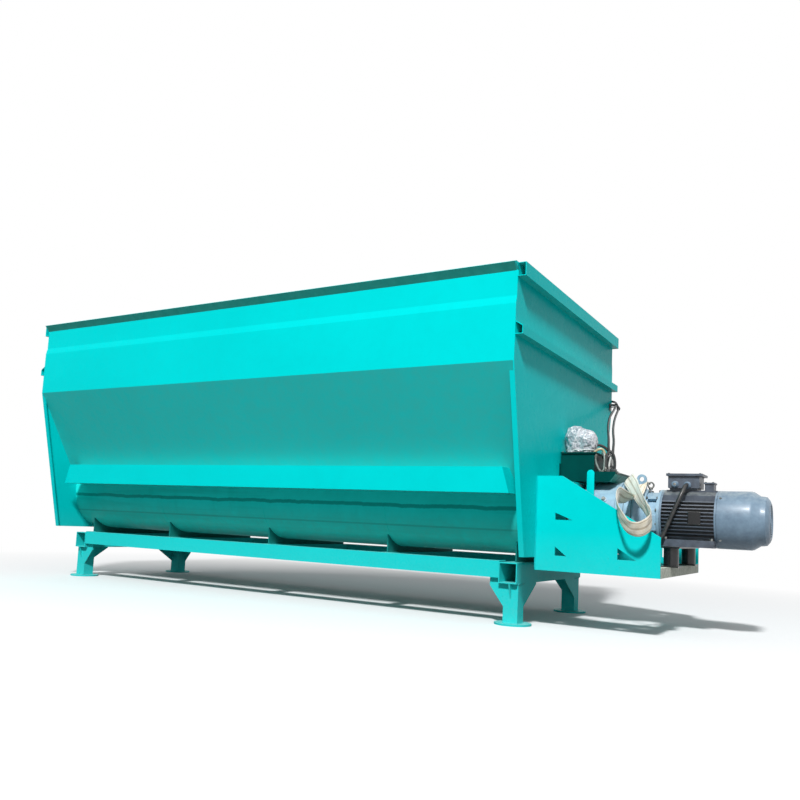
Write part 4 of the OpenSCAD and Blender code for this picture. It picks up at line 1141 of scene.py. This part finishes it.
def add_valve_block():
    """Five valve sections side by side, their end nuts and the nuts of their tie rods."""
    section_pitch, section_width = 0.0447, 0.042
    starts = [-0.1615 + section_pitch * number for number in range(5)]
    sections = [block(span(*VALVE_ENDS), (y, y + section_width),
                      (SHELF_Z + 0.0005, SHELF_Z + 0.078), 0.003) for y in starts]
    painted(join(*sections), "valve_sections", "valve_iron")
    low_end, high_end = VALVE_ENDS
    nuts = [(at(x, y + section_width / 2, SHELF_Z + rise), (way, 0, 0)) for y in starts
            for x, rise, way in ((high_end, 0.028, 1), (high_end, 0.060, 1), (low_end, 0.050, -1))]
    plated(hex_bolt(0.015, 0.008, 0.0015, 0.004), nuts, "valve_nuts")
    ties = [(at(2.55, -0.1645, SHELF_Z + rise), (0, -1, 0)) for rise in (0.018, 0.066)]
    plated(hex_bolt(0.013, 0.008, 0.0015, 0.006), ties, "valve_tie_nuts")


def add_short_hoses():
    for name, radius, material, route in SHORT_HOSES:
        hose = as_mesh(curve_line(smooth(metres(route), 6), radius))
        done(hose, name, material)
    fitting = join(drum(0.012, 0.016, 6, 0.001),
                   start("cylinder", vertices=16, radius=0.0095, depth=0.03))
    plated(fitting, [(*metres([spot]), way) for spot, way in FITTINGS], "hose_fittings")
    relief = lathe([(0, 0), (0, 0.013), (0.022, 0.013), (0.024, 0.009), (0.046, 0.009),
                    (0.048, 0.006), (0.058, 0.006), (0.060, 0)], 20,
                   at(2.590, -0.142, SHELF_Z + 0.050))
    done(relief, "relief_valve", ZINC)
    coil = block(span(2.598, 2.634), (-0.19, -0.152), (SHELF_Z + 0.046, SHELF_Z + 0.076), 0.004)
    painted(coil, "solenoid_block", "valve_iron")


def add_tank_parts():
    """Filler cap and lid bolts of the tank, the post beside it, and the levers' boots."""
    filler = lathe([(0, 0), (0, 0.030), (0.006, 0.030), (0.006, 0.024), (0.012, 0.024),
                    (0.014, 0.033), (0.034, 0.033), (0.040, 0.028), (0.042, 0)], 28,
                   at(2.325, 0.11, TANK_TOP), "Z")
    painted(filler, "filler_cap", "black_paint")
    rim = [(at(x, y, TANK_TOP - 0.0005), (0, 0, 1))
           for x in (2.268, 2.490) for y in (-0.188, 0.0, 0.188)]
    plated(hex_bolt(0.010, 0.004, 0.001), rim, "tank_lid_bolts")
    post = start("cylinder", vertices=32, radius=0.025, depth=0.008,
                 location=at(2.472, -0.2046, 1.005), rotation=(math.pi / 2, 0, 0))
    pull(post, lambda spot: spot.z < 1.004, (0, 0, -0.19))
    painted(soften(post, 0.0008), "tank_post", "teal_paint")
    levers = [(at(2.5325, y, SHELF_Z + 0.075), (0, 0, 1)) for y in (-0.11, -0.05, 0.01)]
    boot = lathe([(0, 0.008), (0, 0.017), (0.005, 0.0165), (0.007, 0.012), (0.010, 0.0145),
                  (0.013, 0.0105), (0.016, 0.012), (0.021, 0.0085), (0.024, 0.0076)], 20,
                 axis="Z")
    done(spread(boot, levers), "lever_boots", SEAL_AND_SHADE_BLACK)


# Body, frame and legs

def add_welds():
    """Beads where the cheeks, legs, pads, tubes and beams are joined."""
    beads = []

    def bead(first, second, radius=0.005):
        beads.append(weld([at(*first), at(*second)], radius))

    corners = [(x * POST_HALF, y * POST_HALF) for x, y in ((-1, -1), (1, -1), (1, 1), (-1, 1))]
    edge_y, edge_z = TROUGH_EDGE
    knee_y, knee_z = KNEE
    beam_y = edge_y + (BEAM_TOP_Z - edge_z) * (knee_y - edge_y) / (knee_z - edge_z) + 0.004
    for side in (-1, 1):
        cheek_x, cheek_y, bar_y = HALF_LENGTH + 0.002, side * 0.6205, side * 0.6075
        bead((cheek_x, cheek_y, MOUNT_Z + 0.01), (cheek_x, cheek_y, 0.955))
        bead((3.0, bar_y, MOUNT_Z + 0.0605), (2.93, bar_y, MOUNT_Z + 0.0605), 0.004)
        for end in (-1, 1):
            leg_x, leg_y, tube_x = end * LEG_X, side * LEG_Y, end * TUBE_END_X
            for a, b in zip(corners, corners[1:] + corners[:1]):
                for z, radius in ((0.013, 0.0045), (0.2605, 0.004)):
                    bead((leg_x + a[0], leg_y + a[1], z), (leg_x + b[0], leg_y + b[1], z), radius)
            bead((tube_x, side * 0.6505, 0.297), (tube_x, side * 0.6505, 0.392), 0.0042)
            bead((tube_x, side * 0.551, 0.4025), (tube_x, side * 0.649, 0.4025), 0.0042)
        for number in range(13):
            x = -2.0 + number * 0.325
            bead((x, side * beam_y, 0.9985), (x + 0.07, side * beam_y, 0.9985), 0.0036)
    done(join(*beads), "weld_beads", WELD_PAINT, smooth=60)


def add_lip_ends():
    """Small plates that close the flared lip against the end rails."""
    inner, outer = INNER_LENGTH + 0.0003, HALF_LENGTH + 0.006
    plates = []
    for end in (-1, 1):
        for side in (-1, 1):
            x = sorted((BODY_X + end * inner, BODY_X + end * outer))
            y = sorted((side * 1.0455, side * 1.0872))
            plate = block(x, y, (LIP_FOOT_Z + 0.0015, 2.2235), 0.0)
            pull(plate, lambda spot: abs(spot.y) > 1.08 and spot.z < 2.2, (0, -side * 0.041, 0))
            plates.append(modify(plate, "BEVEL", width=0.0012, segments=2))
    painted(join(*plates), "lip_ends", "teal_paint")


def add_trough_seams():
    """Beads round the trough where two lengths of its plate meet."""
    radius = TROUGH_RADIUS + 0.0085
    beads = []
    for x in (-1.12, 0.0, 1.12):
        for side in (-1, 1):
            arc = []
            for number in range(19):
                angle = math.radians(88 - number * 8.5)
                arc.append(at(x, side * (SHAFT_Y + radius * math.sin(angle)),
                              SHAFT_Z - radius * math.cos(angle)))
            beads.append(weld(arc, 0.0028, 0.008))
    done(join(*beads), "trough_seams", TROUGH_PAINT, smooth=60)


def add_bearings():
    """Covers, bolts and grease nipples of the two rear bearings."""
    caps, bolts, nipples = [], [], []
    for side in (-1, 1):
        centre = at(-HALF_LENGTH - 0.04, side * SHAFT_Y, SHAFT_Z)
        caps.append(lathe([(0.0005, 0.050), (-0.004, 0.070), (0.0005, 0.078)], 36, centre))
        bolts += ring_of(centre, 0.082, 6, 30, (-1, 0, 0))
        nipples.append((centre + Vector((0.02, 0, 0.094)), (0, 0, 1)))
    painted(join(*caps), "bearing_covers", "bearing_iron")
    plated(hex_bolt(0.017, 0.006, 0.0015), bolts, "bearing_bolts")
    nipple = lathe([(0, 0), (0, 0.005), (0.006, 0.005), (0.008, 0.0028), (0.014, 0.0028),
                    (0.017, 0.0038), (0.020, 0.002), (0.0205, 0)], 12, axis="Z")
    plated(nipple, nipples, "grease_nipples")


def add_gear_case_bolts():
    """Bolts round both ends of the gear case and along its straight edges."""
    reach = 0.152
    middle = at(HALF_LENGTH + 0.135, 0, SHAFT_Z)
    offsets = [(x, z) for x in (-0.15, 0.0, 0.15) for z in (-reach, reach)]
    offsets.remove((0.0, -reach))
    bolts = []
    for side in (-1, 1):
        for number in range(7):
            angle = math.radians(-90 + number * 30) * side
            offset = Vector((0, side * abs(math.cos(angle)), math.sin(angle)))
            bolts.append((middle + Vector((0, side * SHAFT_Y, 0)) + offset * reach, (1, 0, 0)))
    bolts += [(middle + Vector((0, y, z)), (1, 0, 0)) for y, z in offsets]
    plated(hex_bolt(0.019, 0.009, 0.002), bolts, "gear_case_bolts")


# Augers, door and cylinder

def add_paddle_bolts():
    """Three bolts hold each discharge paddle to its arm."""
    for name, side in (("near", -1), ("far", 1)):
        bolts = []
        for number in range(4):
            out = outward(-90 * number)
            face = Vector((0, out.z, -out.y))
            bolts += [(at(1.35, side * SHAFT_Y, SHAFT_Z) + out * reach + face * 0.006, face)
                      for reach in (0.13, 0.20, 0.255)]
        plated(hex_bolt(0.016, 0.007, 0.0015), bolts, f"paddle_bolts_{name}",
               f"auger_{name}")


def both_ends(middle, reach):
    """Two places on a pin along X, each facing outwards."""
    return [(middle + Vector((side * reach, 0, 0)), (side, 0, 0)) for side in (-1, 1)]


def add_door_parts():
    """Nuts of the hinge and pins, ribs of the door, and the cylinder's gland, wiper and ports."""
    door = Vector((DOOR_X + BODY_X, 0, 0))
    plated(hex_bolt(0.014, 0.006, 0.0012), both_ends(door + HINGE, 0.3702), "hinge_nuts", "door")
    lean = math.radians(DOOR_LEAN)
    down = Vector((0, -math.sin(lean), -math.cos(lean)))
    out = Vector((0, math.cos(lean), -math.sin(lean)))
    ribs = []
    for x in (-0.24, 0.24):
        rib = block((door.x + x - 0.004, door.x + x + 0.004), (-0.012, 0.012), (-0.13, 0.13), 0.001)
        rib.rotation_euler = (-lean, 0, 0)
        rib.location = HINGE + down * 0.20 + out * 0.0143
        ribs.append(settle(rib))
    painted(join(*ribs), "door_ribs", "teal_paint", "door")
    gland = lathe([(0, 0.0136), (0, 0.0335), (0.004, 0.0345), (0.024, 0.0345), (0.028, 0.0325),
                   (0.028, 0.0318)], 32, axis="Z")
    plated(gland, [(down_cylinder(0.5205), -CYLINDER_DOWN)], "cylinder_gland",
           "cylinder")
    wiper = lathe([(0, 0.0134), (0, 0.021), (0.003, 0.021), (0.006, 0.0165), (0.006, 0.0134)],
                  24, axis="Z")
    wiper = spread(wiper, [(down_cylinder(0.5206), CYLINDER_DOWN)])
    done(wiper, "rod_wiper", SEAL_AND_SHADE_BLACK, "cylinder")
    ports = [(down_cylinder(distance) + Vector((0.0325, 0, 0)), (1, 0, 0))
             for distance in (HEAD_PORT, PIPE_PORT, BASE_PORT)]
    plated(hex_bolt(0.026, 0.008, 0.0015), ports, "port_nuts", "cylinder")
    plated(hex_bolt(0.020, 0.005, 0.0012), both_ends(CYLINDER_PIN, 0.0362), "bracket_pin_nuts")
    plated(hex_bolt(0.018, 0.005, 0.0012), both_ends(ARM_PIN, 0.0483), "arm_pin_nuts", "door")


# Paint, stage and light

def dress_nodes():
    """Paint the part's own pieces, some in a finish of their own; the trough, saddles, stator and
    terminal box take lighter or darker copies of their paint as painted light and shade.
    """
    slots = {part["node"]: part["material_slot"] for part in frame["record"]["subparts"]}
    special = {"trough": TROUGH_PAINT, "side_shell_near": SHELL_PAINT,
               "side_shell_far": SHELL_PAINT, "mount_bars": BAR_PAINT, "saddles": SHADED_PAINT,
               "motor_body": SHADED_STATOR_GREY, "terminal_box": SHADED_STATOR_GREY}
    for name, obj in frame["nodes"].items():
        obj.data.materials.clear()
        obj.data.materials.append(special.get(name) or MATERIALS[slots[name]])


def set_stage():
    """A pale floor that turns white further out; mirrored light finds it darker close by."""
    floor = start("plane", size=60)
    floor.name = "floor"
    recipe = Recipe("pale_floor")
    reach = recipe.node("ShaderNodeVectorMath", {"operation": "LENGTH"}, {0: recipe.place()},
                        out="Value")
    seen = recipe.seen()
    speck = recipe.noise(30.0, detail=4.0)
    paint = recipe.mix(speck, rgb(238, 240, 241), rgb(246, 247, 248))
    pale = recipe.principled(Base_Color=paint, Roughness=0.9)
    deep = recipe.principled(Base_Color=rgb(122, 124, 124), Roughness=1.0)
    near = recipe.blend(seen, deep, pale)
    white = recipe.node("ShaderNodeEmission", {}, {"Color": (1, 1, 1, 1), "Strength": 1.0})
    recipe.close(recipe.blend(recipe.band(reach, 2.6, 6.5) * seen, near, white))
    floor.data.materials.append(recipe.block)


def set_light():
    """Soft light all round, white behind the object, and one round lamp to the near right."""
    recipe = Recipe("studio", "World")
    white = recipe.node("ShaderNodeBackground", {}, {"Color": (1, 1, 1, 1), "Strength": 1.0})
    sky = {"Color": (0.95, 0.98, 1.0, 1), "Strength": 0.30}
    soft = recipe.node("ShaderNodeBackground", {}, sky)
    recipe.close(recipe.blend(recipe.seen(), soft, white))
    bpy.context.scene.world = recipe.block
    data = bpy.data.lights.new("key", "AREA")
    data.shape = "DISK"
    data.size = LAMP_SIZE
    data.energy = LAMP_POWER
    lamp = bpy.data.objects.new("key", data)
    bpy.context.scene.collection.objects.link(lamp)
    direction = LAMP_SIDE.normalized()
    lamp.location = direction * LAMP_DISTANCE
    lamp.rotation_euler = direction.to_track_quat("Z", "Y").to_euler()


bpy.context.scene.view_settings.view_transform = "Standard"
set_camera()
lay_hoses()
add_hose_ends()
add_hose_holders()
hang_sling()
wrap_pump()
add_cowl()
add_stator_trim()
add_terminal_trim()
add_bell_and_head_trim()
add_foot_bolts()
add_valve_block()
add_short_hoses()
add_tank_parts()
add_welds()
add_lip_ends()
add_trough_seams()
add_bearings()
add_gear_case_bolts()
add_paddle_bolts()
add_door_parts()
dress_nodes()
set_stage()
set_light()
